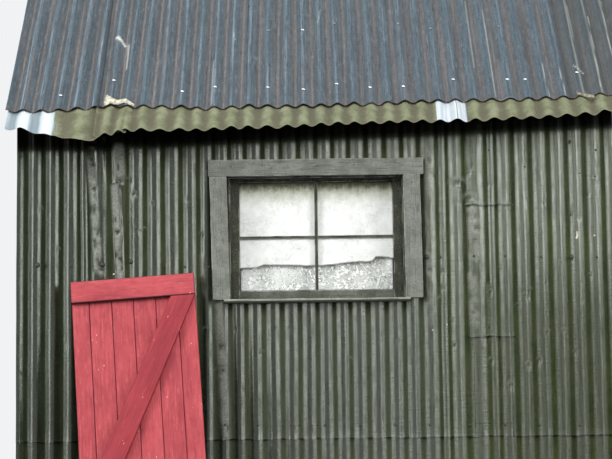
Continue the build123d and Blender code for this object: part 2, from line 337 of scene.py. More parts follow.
def board(name, lo, hi, along, material, slot, nodes=(), place=None, bevel=0.002, wear=0.0006, cut=None):
    """A worn board from corner lo to corner hi, its grain along the named axis."""
    lo, hi = np.array(lo, float), np.array(hi, float)
    size = hi - lo
    bm = bmesh.new()
    bmesh.ops.create_cube(bm, size=1.0)
    for v in bm.verts:
        v.co = Vector(lo + (np.array(v.co) + 0.5) * size)
    axis = "xyz".index(along)
    cuts = int(max(1, min(60, size[axis] / BOARD_STEP)))
    long_edges = [e for e in bm.edges if abs((e.verts[0].co - e.verts[1].co)[axis]) > 0.5 * size[axis]]
    bmesh.ops.subdivide_edges(bm, edges=long_edges, cuts=cuts, use_grid_fill=False)
    small = min(bevel, 0.3 * float(size.min()))
    sharp = [e for e in bm.edges if len(e.link_faces) == 2 and e.calc_face_angle(0) > 0.5]
    bmesh.ops.bevel(bm, geom=sharp, offset=small, segments=2, affect="EDGES", profile=0.6)
    seed = int(rng.integers(1, 60)) * 10
    phase = float(rng.random() * 40)
    co = np.array([v.co for v in bm.verts])
    l = co[:, axis]
    rest = [i for i in range(3) if i != axis]
    for i, j in enumerate(rest):
        co[:, j] += wear * rough_field(l / 0.05 + phase, co[:, rest[1 - i]] / 0.03 + i, seed + i)
        co[:, j] += 1.2 * wear * field(l / 0.4 + phase, 0.3 * i, seed + 5)
    path = np.stack([l, co[:, rest[0]], co[:, rest[1]]], -1) + np.array((phase, phase * 0.37, 0))
    mid, half = (lo + hi) / 2, size / 2
    local = np.stack([l - mid[axis], co[:, rest[0]] - mid[rest[0]], co[:, rest[1]] - mid[rest[1]]], -1)
    info = np.tile((half[axis], half[rest[0]], half[rest[1]]), (len(l), 1))
    if cut is not None:
        co = cut(co)
    if place is not None:
        co = place(co)
    co[:, 2] = np.maximum(co[:, 2], 0.0)
    bm.verts.index_update()
    faces = [[v.index for v in f.verts] for f in bm.faces]
    bm.free()
    obj = piece(name, co, faces, material, nodes,
                attributes={"path": path, "info": info, "local": local})
    smooth_by_angle(obj)
    return obj


def smooth_by_angle(obj, angle=0.7):
    """Keeps edges sharp where faces meet at more than the angle."""
    obj.data.set_sharp_from_angle(angle=angle)


# Materials


class Value:
    """What a node gives out, to be reckoned with."""

    def __init__(self, mat, socket):
        self.mat, self.socket = mat, socket

    def __mul__(self, other):
        return self.mat.math("MULTIPLY", self, other)

    def __add__(self, other):
        return self.mat.math("ADD", self, other)

    def __radd__(self, other):
        return self.mat.math("ADD", other, self)

    def __sub__(self, other):
        return self.mat.math("SUBTRACT", self, other)

    def __rsub__(self, other):
        return self.mat.math("SUBTRACT", other, self)


class Mat:
    """Small helper round a node tree."""

    def __init__(self, name):
        self.mat = bpy.data.materials.new(name)
        self.mat.use_nodes = True
        self.tree = self.mat.node_tree
        self.bsdf = self.tree.nodes["Principled BSDF"]

    def node(self, kind, **settings):
        n = self.tree.nodes.new(kind)
        for key, value in settings.items():
            setattr(n, key, value)
        return n

    def link(self, value, socket):
        self.tree.links.new(value.socket, socket)

    def put(self, socket, value):
        if isinstance(value, Value):
            self.link(value, socket)
        else:
            socket.default_value = value

    def attribute(self, name):
        """A piece's own values at a point, as one vector and one by one."""
        whole = Value(self, self.node("ShaderNodeAttribute", attribute_name=name).outputs["Vector"])
        parts = self.node("ShaderNodeSeparateXYZ")
        self.link(whole, parts.inputs[0])
        return whole, *[Value(self, out) for out in parts.outputs]

    def board_edge(self):
        """Distance from a board's nearest edge."""
        _, l, a, b = self.attribute("local")
        _, half_l, half_a, half_b = self.attribute("info")
        pairs = ((half_l, l), (half_a, a), (half_b, b))
        end, side_a, side_b = [half - self.math("ABSOLUTE", at) for half, at in pairs]
        return self.math("MINIMUM", self.larger(side_a, side_b), self.larger(end, 0.0))

    def object_point(self):
        return Value(self, self.node("ShaderNodeTexCoord").outputs["Object"])

    def scaled(self, vector, scale):
        n = self.node("ShaderNodeMapping")
        self.link(vector, n.inputs["Vector"])
        n.inputs["Scale"].default_value = scale
        return Value(self, n.outputs[0])

    def noise(self, vector, scale=1.0, detail=4.0, rough=0.55, distort=0.0):
        n = self.node("ShaderNodeTexNoise")
        self.link(vector, n.inputs["Vector"])
        n.inputs["Scale"].default_value = scale
        n.inputs["Detail"].default_value = detail
        n.inputs["Roughness"].default_value = rough
        n.inputs["Distortion"].default_value = distort
        return Value(self, n.outputs["Fac"])

    def stretched(self, vector, scale, *shape):
        """Noise with its own scale along each axis."""
        return self.noise(self.scaled(vector, scale), 1.0, *shape)

    def voronoi(self, vector, scale=1.0, feature="F1"):
        n = self.node("ShaderNodeTexVoronoi", feature=feature)
        self.link(vector, n.inputs["Vector"])
        n.inputs["Scale"].default_value = scale
        return Value(self, n.outputs["Distance"])

    def ramp(self, value, low, high, a=0.0, b=1.0, smooth=True):
        n = self.node("ShaderNodeMapRange", interpolation_type="SMOOTHSTEP" if smooth else "LINEAR")
        self.link(value, n.inputs["Value"])
        for key, number in (("From Min", low), ("From Max", high), ("To Min", a), ("To Max", b)):
            n.inputs[key].default_value = number
        return Value(self, n.outputs[0])

    def math(self, op, a, b=0.0, clamp=False):
        n = self.node("ShaderNodeMath", operation=op, use_clamp=clamp)
        self.put(n.inputs[0], a)
        self.put(n.inputs[1], b)
        return Value(self, n.outputs[0])

    def larger(self, a, b):
        return self.math("MAXIMUM", a, b)

    def far_from(self, value, middle):
        """How far a value is from a middle one, either way."""
        return self.math("ABSOLUTE", value - middle)

    def mix(self, factor, a, b):
        n = self.node("ShaderNodeMix", data_type="RGBA")
        self.put(n.inputs["Factor"], factor)
        self.put(n.inputs[6], a if isinstance(a, Value) else (*a, 1))
        self.put(n.inputs[7], b if isinstance(b, Value) else (*b, 1))
        return Value(self, n.outputs[2])

    def lay(self, mask, share, color, paint):
        """Paint over a colour where the mask is, at most by the share."""
        return self.mix(mask * share, color, paint)

    def bump(self, height, strength, distance, normal=None):
        n = self.node("ShaderNodeBump")
        n.inputs["Strength"].default_value = strength
        n.inputs["Distance"].default_value = distance
        self.link(height, n.inputs["Height"])
        if normal is not None:
            self.link(normal, n.inputs["Normal"])
        return Value(self, n.outputs[0])

    def out(self, color, rough, normal=None, metallic=None, specular=None, alpha=None):
        values = {"Base Color": color, "Roughness": rough, "Normal": normal, "Metallic": metallic,
                  "Specular IOR Level": specular, "Alpha": alpha}
        for key, value in values.items():
            if value is not None:
                self.put(self.bsdf.inputs[key], value)
        return self.mat


def srgb(r, g, b):
    """Linear colour from 0 to 255 screen values."""
    def one(c):
        c /= 255
        return c / 12.92 if c <= 0.04045 else ((c + 0.055) / 1.055) ** 2.4

    return (one(r), one(g), one(b))


# The eaves' shadow is painted: above the shadow line the paint loses its reflections and turns near black.
FADE = 0.028  # height over which the paint loses its shine below the eaves


def wall_shine(m, u, v, wave, side, below, brush, under_sill):
    """How much the paint reflects: less in the valleys, under the eaves, on the left, toward the lower
    right and under the sill, all painted shade, and less along the brush marks.
    """
    shine = m.ramp(wave, 0.05, 0.45, 0.10, 1.0)
    shine = shine * (0.52 + side * 0.34)
    dim_lower_right = m.ramp(u, 0.3, 0.95) * m.ramp(v, 1.55, 1.1)
    shine = shine * (1.0 - dim_lower_right * 0.6)
    shine = shine * (1.0 - under_sill * 0.2)
    shine = shine * m.ramp(below, 0.0, FADE, 0.04, 1.0)
    return shine * m.ramp(brush, 0.3, 0.55, 0.55, 1.0)


def wall_bumps(m, path, side, grit, broken):
    """The paint's brush marks and grit, and hollows where it is broken."""
    height = m.stretched(path, (16, 130, 0), 3, 0.6)
    height = height * m.ramp(side, 0.4, 1.0, 0.35, 1.6)
    n = m.bump(height, 0.60, 0.0014)
    n = m.bump(grit, 0.30, 0.0007, n)
    return m.bump(broken, 0.6, -0.0010, n)


def wall_green(m, path, u, blotch, under_sill, side, wave):
    """Mossy paint in the valleys."""
    inward = m.ramp(u, -1.10, -0.80)
    green = m.mix(m.ramp(blotch, 0.35, 0.65), m.mix(inward, srgb(34, 42, 28), srgb(50, 58, 38)),
                  m.mix(inward, srgb(44, 52, 36), srgb(64, 70, 50)))
    # Valleys painted lighter under the sill: painted light.
    green = m.lay(under_sill, 0.60, green, srgb(80, 86, 74))
    moss = m.ramp(m.stretched(path, (14, 3.0, 0), 4, 0.6), 0.5, 0.66) * m.ramp(wave, 0.45, 0.1)
    return m.lay(moss, side * 0.6, green, srgb(68, 78, 40))


def wall_grey(m, path, under_sill, side):
    """Worn, streaked paint on the ridges."""
    streak = m.stretched(path, (60, 1.4, 0), 5, 0.65)
    # Ridges painted darker toward the left: painted shade.
    crest = m.mix(side, srgb(38, 43, 34), srgb(58, 62, 50))
    crest = m.lay(m.ramp(streak, 0.42, 0.7), 0.7, crest, m.mix(side, srgb(50, 55, 45), srgb(82, 85, 72)))
    return m.lay(under_sill, 0.85, crest, srgb(36, 40, 33))


def wall_iron():
    """Dark green paint, worn grey on the ridges, with painted shade under the eaves and on the left."""
    m = Mat("wall_iron")
    path, u, v, wave = m.attribute("path")
    _, edge, mark, below = m.attribute("info")
    flat = m.scaled(path, (1, 1, 0))
    blotch = m.noise(flat, 5.0, 4, 0.6)
    grit = m.noise(flat, 110.0, 4, 0.65)
    brush = m.stretched(path, (150, 7, 0), 4, 0.75)
    # side runs from 0 on the left to 1 on the right; the left gets painted shade, with darker ridges and
    # less shine.
    side = m.ramp(u + blotch * 0.3, -0.55, 0.75)
    # Marks above zero are rust, the shade of holes, painted lap shadows and crease shade; below zero,
    # scuffs and painted highlights.
    rust = m.larger(mark, 0.0)
    scuff_and_highlight = m.larger(mark * -1.0, 0.0)
    # Paint: moss in the valleys, grey ridges
    # Under the sill the valleys are painted lighter, a painted light, and the ridges are darker and less
    # shiny.
    under_sill = m.ramp(m.math("ABSOLUTE", u), 0.58, 0.44) * m.ramp(v, 1.28, 1.16)
    green = wall_green(m, path, u, blotch, under_sill, side, wave)
    crest = wall_grey(m, path, under_sill, side)
    color = m.mix(m.ramp(wave, 0.22, 0.62), green, crest)
    color = m.lay(m.ramp(brush, 0.5, 0.32), 0.45, color, srgb(28, 32, 22))
    mottle = m.stretched(path, (95, 60, 0), 5, 0.8)
    color = m.lay(m.ramp(mottle, 0.47, 0.36), 0.45, color, srgb(30, 33, 24))
    color = m.lay(m.ramp(mottle, 0.55, 0.68), 0.30, color, srgb(92, 96, 84))
    color = m.lay(m.ramp(wave, 0.25, 0.0), 0.12, color, srgb(20, 24, 12))
    color = m.lay(scuff_and_highlight, 0.85, color, m.mix(m.ramp(grit, 0.35, 0.65), srgb(112, 115, 107),
                                            srgb(150, 152, 145)))
    # Painted shadow of the eaves: near black above the shadow line.
    color = m.mix(m.ramp(below, 0.020, -0.020), color, srgb(8, 9, 6))
    # Dark pits, rust at cut ends, a few pale chips
    pit = m.ramp(m.voronoi(flat, 60.0), 0.085, 0.05) * m.ramp(m.noise(flat, 6.3, 3), 0.54, 0.6)
    speck = m.voronoi(flat, 30.0)
    chip = m.ramp(speck, 0.03, 0.045, 1, 0) * m.ramp(m.noise(flat, 3.1, 2), 0.64, 0.7)
    rust_edge = m.ramp(edge, 0.0, 0.006, 1, 0) * m.ramp(blotch, 0.45, 0.6)
    rust = rust * m.ramp(grit, 0.25, 0.45)
    color = m.lay(pit, 0.85, color, srgb(26, 28, 20))
    # Near black where the marks are: rust, and the painted shadows and shade they carry.
    color = m.mix(rust, color, srgb(26, 26, 17))
    color = m.lay(rust_edge, 0.6, color, srgb(58, 42, 28))
    # Painted shadow: a near black line along each sheet's ends, where a lapped foot casts its shadow.
    color = m.lay(m.ramp(edge, 0.0060, 0.0025), 0.90, color, srgb(12, 12, 9))
    color = m.mix(chip, color, srgb(178, 178, 162))
    rough = m.ramp(m.noise(flat, 14.0, 4), 0.3, 0.75, 0.19, 0.32)
    rough = rough + side * 0.1
    rough = rough + m.larger(rust, scuff_and_highlight) * 0.45
    shine = wall_shine(m, u, v, wave, side, below, brush, under_sill)
    n = wall_bumps(m, path, side, grit, pit + chip)
    m.bsdf.inputs["Specular Tint"].default_value = (0.94, 1.0, 0.90, 1)
    return m.out(color, rough, n, specular=shine)


def roof_tones(m, wave, wide, streak, fine):
    """Blue on the ridges, brown between them, and both in broad patches."""
    blue = m.mix(m.ramp(fine, 0.38, 0.62), srgb(42, 60, 70), srgb(68, 85, 96))
    brown = m.mix(m.ramp(streak, 0.36, 0.64), srgb(58, 59, 61), srgb(82, 80, 80))
    share = m.ramp(wave, 0.05, 0.75) + (wide - 0.5) * 2.4
    return m.mix(m.ramp(share, 0.1, 0.9), brown, blue)


def ridge_highlight(m, u, wave, flank):
    """Where each ridge gets its painted highlight, which moves over its top from one end of the roof to the
    other.
    """
    top = wave * 2.0 - 1.0
    swing = u * 0.8
    aim = top * m.math("COSINE", swing)
    aim = aim + flank * m.math("SINE", swing)
    return m.ramp(aim, 0.84, 0.98)


def roof_grain(m, path, color, blotch):
    """Pale and dark flecks, drawn out down the slope."""
    grain = m.stretched(path, (125, 13, 0), 4, 0.8)
    mottle = m.stretched(path, (80, 60, 0), 5, 0.8)
    pale = m.ramp(grain, 0.54, 0.68) * m.ramp(blotch, 0.4, 0.58, 0.3, 1.0)
    color = m.lay(pale, 0.62, color, srgb(120, 132, 140))
    color = m.lay(m.ramp(grain, 0.48, 0.34), 0.85, color, srgb(34, 42, 48))
    color = m.lay(m.ramp(mottle, 0.52, 0.66), 0.35, color, srgb(112, 120, 126))
    return m.lay(m.ramp(mottle, 0.48, 0.34), 0.35, color, srgb(44, 48, 52))


def roof_iron(name="roof_iron", tint=None):
    """Weathered dark iron, blue on the ridges and brown between, streaked down the slope, with painted
    highlights and shade on the ridges' sides.
    """
    m = Mat(name)
    path, u, _, wave = m.attribute("path")
    _, edge, mark, flank = m.attribute("info")
    flat = m.scaled(path, (1, 1, 0))
    streak = m.stretched(path, (46, 1.2, 0), 6, 0.65)
    wide = m.stretched(path, (14, 0.9, 0), 4, 0.6)
    blotch = m.noise(flat, 7.0, 5, 0.65)
    grit = m.noise(flat, 120.0, 3, 0.6)
    fine = m.stretched(path, (190, 2.2, 0), 5, 0.7)
    color = roof_tones(m, wave, wide, streak, fine)
    # worn breaks the painted highlights into streaks.
    worn = m.ramp(fine, 0.40, 0.58, 0.15, 1.0)
    highlight = ridge_highlight(m, u, wave, flank)
    # Painted highlight on one side of each ridge.
    left = highlight * worn * m.ramp(wide, 0.38, 0.55, 0.1, 1.0)
    color = m.lay(left, m.ramp(u, -0.80, -0.95, 0.50, 0.90), color, srgb(124, 142, 154))
    # Painted shade on the ridges' other side, on the left sheet.
    band = m.ramp(flank, 0.1, 0.5) * m.ramp(u, -0.9, -0.95, 0.0, 0.45)
    color = m.mix(band, color, srgb(44, 60, 68))
    # A weaker painted highlight in patches on that other side.
    right = m.ramp(flank, 0.55, 0.95) * worn * m.ramp(blotch, 0.4, 0.55, 0.2, 1.0)
    color = m.lay(right, 0.45, color, srgb(84, 98, 106))
    seam = m.ramp(wave, 0.045, 0.0) * m.ramp(streak, 0.38, 0.58, 0.15, 1.0)
    color = m.lay(seam, m.ramp(u, -0.90, -0.95, 0.70, 0.30), color, srgb(104, 108, 110))
    mauve = m.ramp(streak, 0.48, 0.62) * m.ramp(wide, 0.45, 0.62)
    color = m.lay(mauve, 0.6, color, srgb(92, 82, 80))
    color = roof_grain(m, path, color, blotch)
    if tint:
        color = m.mix(0.45, color, tint)
        # The right sheet's painted highlight.
        color = m.lay(highlight, m.ramp(fine, 0.35, 0.50, 0.25, 0.75), color, srgb(122, 123, 115))
    # Pale marks are droppings, scratches and painted highlight lines; dark marks are painted shade beside
    # the laps.
    color = m.mix(m.larger(mark, 0.0), color, srgb(206, 208, 200))
    color = m.mix(m.larger(mark * -1.0, 0.0), color, srgb(30, 36, 40))
    speck = m.ramp(m.voronoi(flat, 46.0), 0.03, 0.05, 1, 0) * m.ramp(m.noise(flat, 4.7, 2), 0.6, 0.66)
    color = m.mix(speck, color, srgb(196, 200, 204))
    rust = m.ramp(edge, 0.0, 0.008, 1, 0) * m.ramp(blotch, 0.4, 0.55)
    color = m.mix(rust, color, srgb(70, 50, 38))
    rough = m.ramp(m.noise(flat, 11.0, 4), 0.3, 0.75, 0.30, 0.48)
    n = m.bump(m.stretched(path, (30, 60, 0), 3, 0.6), 0.15, 0.001)
    n = m.bump(grit, 0.2, 0.0005, n)
    return m.out(color, rough, n, metallic=0.15, specular=0.45)


def strip_iron():
    """Old galvanised iron under moss, with bare metal where it is marked."""
    m = Mat("strip_iron")
    path, _, _, wave = m.attribute("path")
    _, edge, mark, _ = m.attribute("info")
    flat = m.scaled(path, (1, 1, 0))
    blotch = m.noise(flat, 16.0, 5, 0.65)
    grit = m.noise(flat, 180.0, 4, 0.7)
    spots = m.noise(flat, 42.0, 4, 0.7)
    moss = m.mix(m.ramp(blotch, 0.3, 0.7), srgb(98, 103, 76), srgb(128, 132, 106))
    under = m.mix(m.ramp(grit, 0.3, 0.7), srgb(74, 73, 57), srgb(101, 99, 80))
    share = m.ramp(wave, 0.0, 1.0, smooth=False) + (blotch - 0.5) * 1.6
    share = share + (spots - 0.5) * 0.9
    color = m.mix(m.ramp(share, 0.0, 1.0), under, moss)
    color = m.lay(m.ramp(grit, 0.56, 0.7), 0.35, color, srgb(78, 76, 58))
    color = m.lay(m.ramp(edge, 0.0, 0.008, 1, 0), 0.35, color, srgb(140, 140, 112))
    # Bare metal painted lighter on its ridges and in streaks, a painted sheen, and darker in its valleys, a
    # painted shade.
    sheen = m.stretched(path, (50, 3, 0), 4, 0.6)
    bare = m.mix(m.ramp(wave * 0.5 + sheen * 0.6, 0.35, 0.75), srgb(118, 132, 140), srgb(200, 210, 216))
    bare = m.mix(m.ramp(mark, 1.0, 1.5), bare,
                 m.mix(m.ramp(sheen, 0.35, 0.65), srgb(166, 176, 184), srgb(196, 204, 210)))
    color = m.mix(m.ramp(mark, 0.0, 1.0), color, bare)
    rough = m.ramp(mark, 0, 1, 0.85, 0.42, smooth=False)
    n = m.bump(grit, 0.5, 0.0012)
    n = m.bump(blotch, 0.3, 0.002, n)
    return m.out(color, rough, n, metallic=0.0, specular=0.4)


def wood(name, dark, light, gap, paint=None, rough=0.75, axis=None, knots=True):
    """Boards with grain; with paint, the wood shows only where it has flaked off."""
    m = Mat(name)
    if axis is None:
        path = m.attribute("path")[0]
    else:
        turned = m.node("ShaderNodeMapping")
        m.link(m.object_point(), turned.inputs["Vector"])
        turned.inputs["Rotation"].default_value = axis
        path = Value(m, turned.outputs[0])
    fine = m.stretched(path, (9, 260, 260), 4, 0.65, 0.4)
    broad = m.stretched(path, (2.2, 34, 34), 4, 0.6, 1.2)
    blotch = m.noise(path, 7.0, 4, 0.6)
    grain = fine * 0.55 + broad * 0.45
    color = m.mix(m.ramp(grain, 0.35, 0.65), dark, light)
    color = m.lay(m.ramp(fine, 0.42, 0.34), 0.7, color, gap)
    bare = color
    height = grain
    if paint:
        a, b = paint
        coat = m.mix(m.ramp(blotch, 0.35, 0.65), a, b)
        coat = m.lay(m.ramp(fine, 0.45, 0.30), 0.5, coat, gap)
        flake = m.stretched(path, (30, 120, 120), 5, 0.7)
        flake = flake + (blotch - 0.5) * 0.35
        off = m.ramp(flake, 0.63, 0.66)
        worn = m.ramp(m.board_edge(), 0.0, 0.0025, 1, 0)
        off = m.larger(off, worn * m.ramp(flake, 0.5, 0.56))
        color = m.mix(off, coat, bare)
        height = grain * 0.5 - off * 0.35
    if knots:
        knot = m.ramp(m.voronoi(m.scaled(path, (3.2, 15, 15)), 1.0), 0.05, 0.13, 1, 0)
        color = m.lay(knot, 0.55, color, gap)
    n = m.bump(height, 0.5, 0.0014)
    return m.out(color, m.ramp(fine, 0.3, 0.7, rough - 0.08, rough + 0.1), n, specular=0.35)


def grey_paint(name, a, b, deep, grain_depth=0.55, stain=0.35, shaded_foot=None):
    """Old grey paint that keeps the grain of the board, with hairline cracks and small stains."""
    m = Mat(name)
    path = m.attribute("path")[0]
    edge = m.board_edge()
    bend = m.stretched(path, (3.0, 9, 9), 2, 0.5)
    bent = m.node("ShaderNodeVectorMath", operation="ADD")
    m.link(m.scaled(path, (5, 150, 150)), bent.inputs[0])
    spread = m.node("ShaderNodeCombineXYZ")
    m.put(spread.inputs[1], bend * 7.0)
    m.put(spread.inputs[2], bend * 7.0)
    m.link(Value(m, spread.outputs[0]), bent.inputs[1])
    grain = m.noise(Value(m, bent.outputs[0]), 1.0, 5, 0.65)
    hair = m.stretched(path, (10, 420, 420), 3, 0.6)
    blotch = m.noise(path, 13.0, 5, 0.65)
    speck = m.noise(path, 190.0, 3, 0.7)
    color = m.mix(m.ramp(blotch, 0.32, 0.68), a, b)
    color = m.lay(m.ramp(grain, 0.50, 0.36), 0.55, color, deep)
    color = m.lay(m.ramp(hair, 0.38, 0.30), 0.65, color, deep)
    saw = m.stretched(path, (210, 60, 60), 3, 0.7)
    color = m.lay(m.ramp(saw, 0.47, 0.36), 0.40, color, deep)
    color = m.lay(m.ramp(speck, 0.60, 0.68), 0.45, color, srgb(176, 178, 170))
    color = m.lay(m.ramp(blotch, 0.62, 0.72), stain, color, srgb(84, 82, 66))
    rub = m.ramp(edge, 0.003, 0.0005) * m.ramp(blotch, 0.42, 0.55)
    color = m.lay(rub, 0.7, color, srgb(168, 168, 158))
    knot = m.ramp(m.voronoi(m.scaled(path, (4.0, 16, 16)), 1.0), 0.13, 0.05)
    color = m.lay(knot, 0.5, color, deep)
    # A painted shade along the board's foot.
    if shaded_foot is not None:
        upright = m.attribute("local")[3]
        color = m.mix(m.ramp(upright, shaded_foot, shaded_foot - 0.002), color, deep)
    height = grain * 0.8 + hair * 0.4
    n = m.bump(height, grain_depth, 0.0016)
    return m.out(color, m.ramp(grain, 0.3, 0.7, 0.62, 0.80), n, specular=0.3)


MAT_WALL = wall_iron()
MAT_ROOF = roof_iron()
MAT_ROOF_RIGHT = roof_iron("roof_iron_right", srgb(34, 39, 34))
MAT_STRIP = strip_iron()
MAT_BOARD = grey_paint("grey_boards", srgb(106, 109, 102), srgb(130, 133, 126), srgb(60, 62, 54))
# The sill is painted paler than the other boards, a painted light on its top, and its foot gets a painted
# shade.
MAT_SILL = grey_paint("grey_sill", srgb(128, 130, 120), srgb(150, 152, 142), srgb(40, 42, 32),
                      shaded_foot=0.0005)
# The recess's woodwork is painted darker than the outer boards: painted shade.
MAT_REVEAL = grey_paint("reveal_boards", srgb(40, 42, 32), srgb(70, 72, 58), srgb(14, 15, 10), 0.9, 0.6)
MAT_RAIL = grey_paint("rail_grey", srgb(66, 70, 61), srgb(98, 102, 92), srgb(36, 38, 31), 0.55, 0.2)
# Painted shadow: the head lining and the top rail are near black.
MAT_HEAD_SHADOW = grey_paint("head_lining_shadow", srgb(4, 5, 4), srgb(9, 10, 8), srgb(3, 3, 2), 0.8, 0.1)


def red_paint(name, a, b, deep, under=False, fade=0.40):
    """Faded paint over planks: faint grain, hairline cracks, a few chips, dark grooves at the edges."""
    m = Mat(name)
    path = m.attribute("path")[0]
    edge = m.board_edge()
    grain = m.stretched(path, (6, 170, 170), 5, 0.65, 0.3)
    hair = m.stretched(path, (12, 480, 480), 3, 0.6)
    patch = m.noise(path, 8.0, 5, 0.6)
    cloud = m.stretched(path, (3.0, 12, 12), 3, 0.55)
    color = m.mix(m.ramp(patch, 0.35, 0.65), a, b)
    color = m.lay(m.ramp(cloud, 0.50, 0.70), 0.35, color, deep)
    color = m.lay(m.ramp(grain, 0.50, 0.34), 0.42, color, deep)
    color = m.lay(m.ramp(hair, 0.40, 0.30), 0.55, color, deep)
    faded = m.stretched(path, (14, 90, 90), 5, 0.8)
    color = m.lay(m.ramp(faded, 0.52, 0.66), fade, color, srgb(214, 112, 116))
    color = m.lay(m.ramp(faded, 0.46, 0.34), 0.35, color, deep)
    groove = m.ramp(edge, 0.0026, 0.0012) * 0.85
    color = m.mix(groove, color, srgb(96, 22, 34))
    # With under, the lowest few millimetres turn near black: a painted shadow along the board's underside.
    if under:
        upright = m.attribute("local")[3] + m.attribute("info")[3]
        color = m.mix(m.ramp(upright, 0.0050, 0.0025), color, srgb(52, 10, 16))
    chip = m.ramp(m.voronoi(m.scaled(path, (24, 80, 80)), 1.0), 0.1, 0.07) * m.ramp(patch, 0.54, 0.58)
    color = m.mix(chip, color, srgb(236, 212, 206))
    n = m.bump(grain + hair * 0.5 - chip, 0.3, 0.0008)
    return m.out(color, m.ramp(patch, 0.3, 0.7, 0.60, 0.74), n, specular=0.25)


MAT_RED = red_paint("red_paint", srgb(168, 66, 73), srgb(186, 80, 86), srgb(126, 40, 50))
# The ledges carry a painted shadow along their foot.
MAT_RED_LEDGE = red_paint("red_paint_ledge", srgb(170, 67, 74), srgb(188, 81, 87), srgb(130, 42, 52), True)
MAT_RED_BRACE = red_paint("red_paint_brace", srgb(148, 48, 58), srgb(162, 58, 66), srgb(112, 32, 42),
                          fade=0.12)
MAT_DOOR = wood("door_paint", srgb(60, 56, 46), srgb(96, 90, 76), srgb(24, 24, 20),
                (srgb(48, 56, 46), srgb(64, 70, 58)), 0.55)


def plain_glass():
    """Clear glass, wavy and a little dusty."""
    m = Mat("glass")
    coord = m.object_point()
    wavy = m.noise(coord, 3.0, 2)
    dust = m.noise(coord, 24.0, 4)
    color = m.mix(m.ramp(dust, 0.4, 0.7), srgb(200, 206, 202), srgb(176, 180, 170))
    return m.out(color, m.ramp(dust, 0.5, 0.8, 0.03, 0.12), m.bump(wavy, 0.1, 0.004),
                 alpha=m.ramp(dust, 0.4, 0.8, 0.03, 0.08))


MAT_GLASS = plain_glass()


def paper():
    """White paper or film, finely wrinkled with its creases in painted shade, and a mossy stain along its
    head that also serves as a painted shadow under the sash's top.
    """
    m = Mat("paper")
    path, _, down, _ = m.attribute("path")
    flat = m.scaled(path, (1, 1, 0))
    blotch = m.noise(flat, 16.0, 5, 0.65)
    swirl = m.noise(flat, 34.0, 4, 0.6, 1.6)
    crease_shade = m.ramp(m.far_from(swirl, 0.5), 0.030, 0.008)
    small = m.stretched(path, (90, 60, 0), 4, 0.6, 1.2)
    crease_shade = m.larger(crease_shade, m.ramp(m.far_from(small, 0.5), 0.028, 0.008) * 0.6)
    crease_shade = crease_shade * m.ramp(m.noise(flat, 9.0, 2), 0.4, 0.6, 0.15, 1.0)
    color = m.mix(m.ramp(blotch, 0.38, 0.62), srgb(246, 247, 245), srgb(254, 254, 253))
    color = m.lay(crease_shade, 0.48, color, srgb(176, 178, 172))
    # Darker towards the head: a mossy stain and the painted shadow of the top rail.
    streaky = m.stretched(path, (70, 9, 0), 5, 0.7)
    top = down + (m.noise(flat, 26.0, 5, 0.75) - 0.5) * 0.075
    top = top + (streaky - 0.5) * 0.06
    color = m.lay(m.ramp(top, 0.115, 0.015), 0.75, color, srgb(168, 170, 138))
    color = m.mix(m.ramp(top, 0.046, 0.000), color, srgb(92, 98, 56))
    n = m.bump(blotch + crease_shade * 0.5, 0.35, 0.002)
    return m.out(color, 0.8, n, specular=0.2)


MAT_PAPER = paper()


def lace():
    """Net with a woven leaf pattern: holes by alpha, denser in the pattern."""
    m = Mat("lace")
    path = m.attribute("path")[0]
    flat = m.scaled(path, (1, 1, 0))
    swirl = m.noise(flat, 17.0, 3, 0.6, 2.2)
    leaf = m.ramp(m.far_from(swirl, 0.5), 0.040, 0.022)
    petal = m.voronoi(flat, 34.0)
    flower = m.ramp(petal, 0.30, 0.22)
    dense = m.larger(leaf, flower)
    outline = m.larger(m.ramp(m.far_from(petal, 0.34), 0.05, 0.02),
                       m.ramp(m.far_from(m.far_from(swirl, 0.5), 0.05), 0.010, 0.004))
    net = m.ramp(m.voronoi(flat, 420.0, "DISTANCE_TO_EDGE"), 0.05, 0.10, 1, 0)
    shade = m.ramp(m.noise(flat, 5.0, 3), 0.35, 0.65)
    color = m.mix(shade, srgb(186, 190, 186), srgb(236, 239, 236))
    color = m.lay(outline, 0.80, color, srgb(128, 132, 126))
    color = m.mix(dense, color, srgb(255, 255, 254))
    alpha = m.math("MAXIMUM", dense, net * 0.1 + 0.92, clamp=True)
    n = m.bump(dense + net * 0.4, 0.4, 0.0008)
    return m.out(color, 0.85, n, specular=0.2, alpha=alpha)


MAT_LACE = lace()


def plain_metal(name, a, b, rough, metallic):
    """Two tones in patches."""
    m = Mat(name)
    coord = m.object_point()
    patch = m.noise(coord, 60.0, 3)
    return m.out(m.mix(m.ramp(patch, 0.35, 0.65), a, b), m.ramp(patch, 0.3, 0.7, rough, rough + 0.15),
                 m.bump(patch, 0.3, 0.0006), metallic=metallic)


# Lead nail heads, painted pale as their highlight.
MAT_NAIL_PALE = plain_metal("nail_pale", srgb(206, 210, 212), srgb(236, 238, 238), 0.45, 0.2)
MAT_LIP = plain_metal("lip", srgb(150, 144, 124), srgb(206, 202, 184), 0.5, 0.1)
MAT_NAIL_DARK = plain_metal("nail_dark", srgb(20, 22, 17), srgb(34, 35, 28), 0.45, 0.0)
MAT_LIP_RIGHT = plain_metal("lip_right", srgb(84, 78, 66), srgb(150, 143, 126), 0.6, 0.1)
# Painted shade of holes: near black discs.
MAT_HOLE_SHADE = plain_metal("hole_dark", srgb(10, 11, 8), srgb(20, 20, 15), 0.9, 0.0)
# Fainter nail heads, with a weaker painted highlight.
MAT_NAIL_GREY = plain_metal("nail_grey", srgb(128, 136, 142), srgb(160, 166, 170), 0.45, 0.2)


# Wall iron

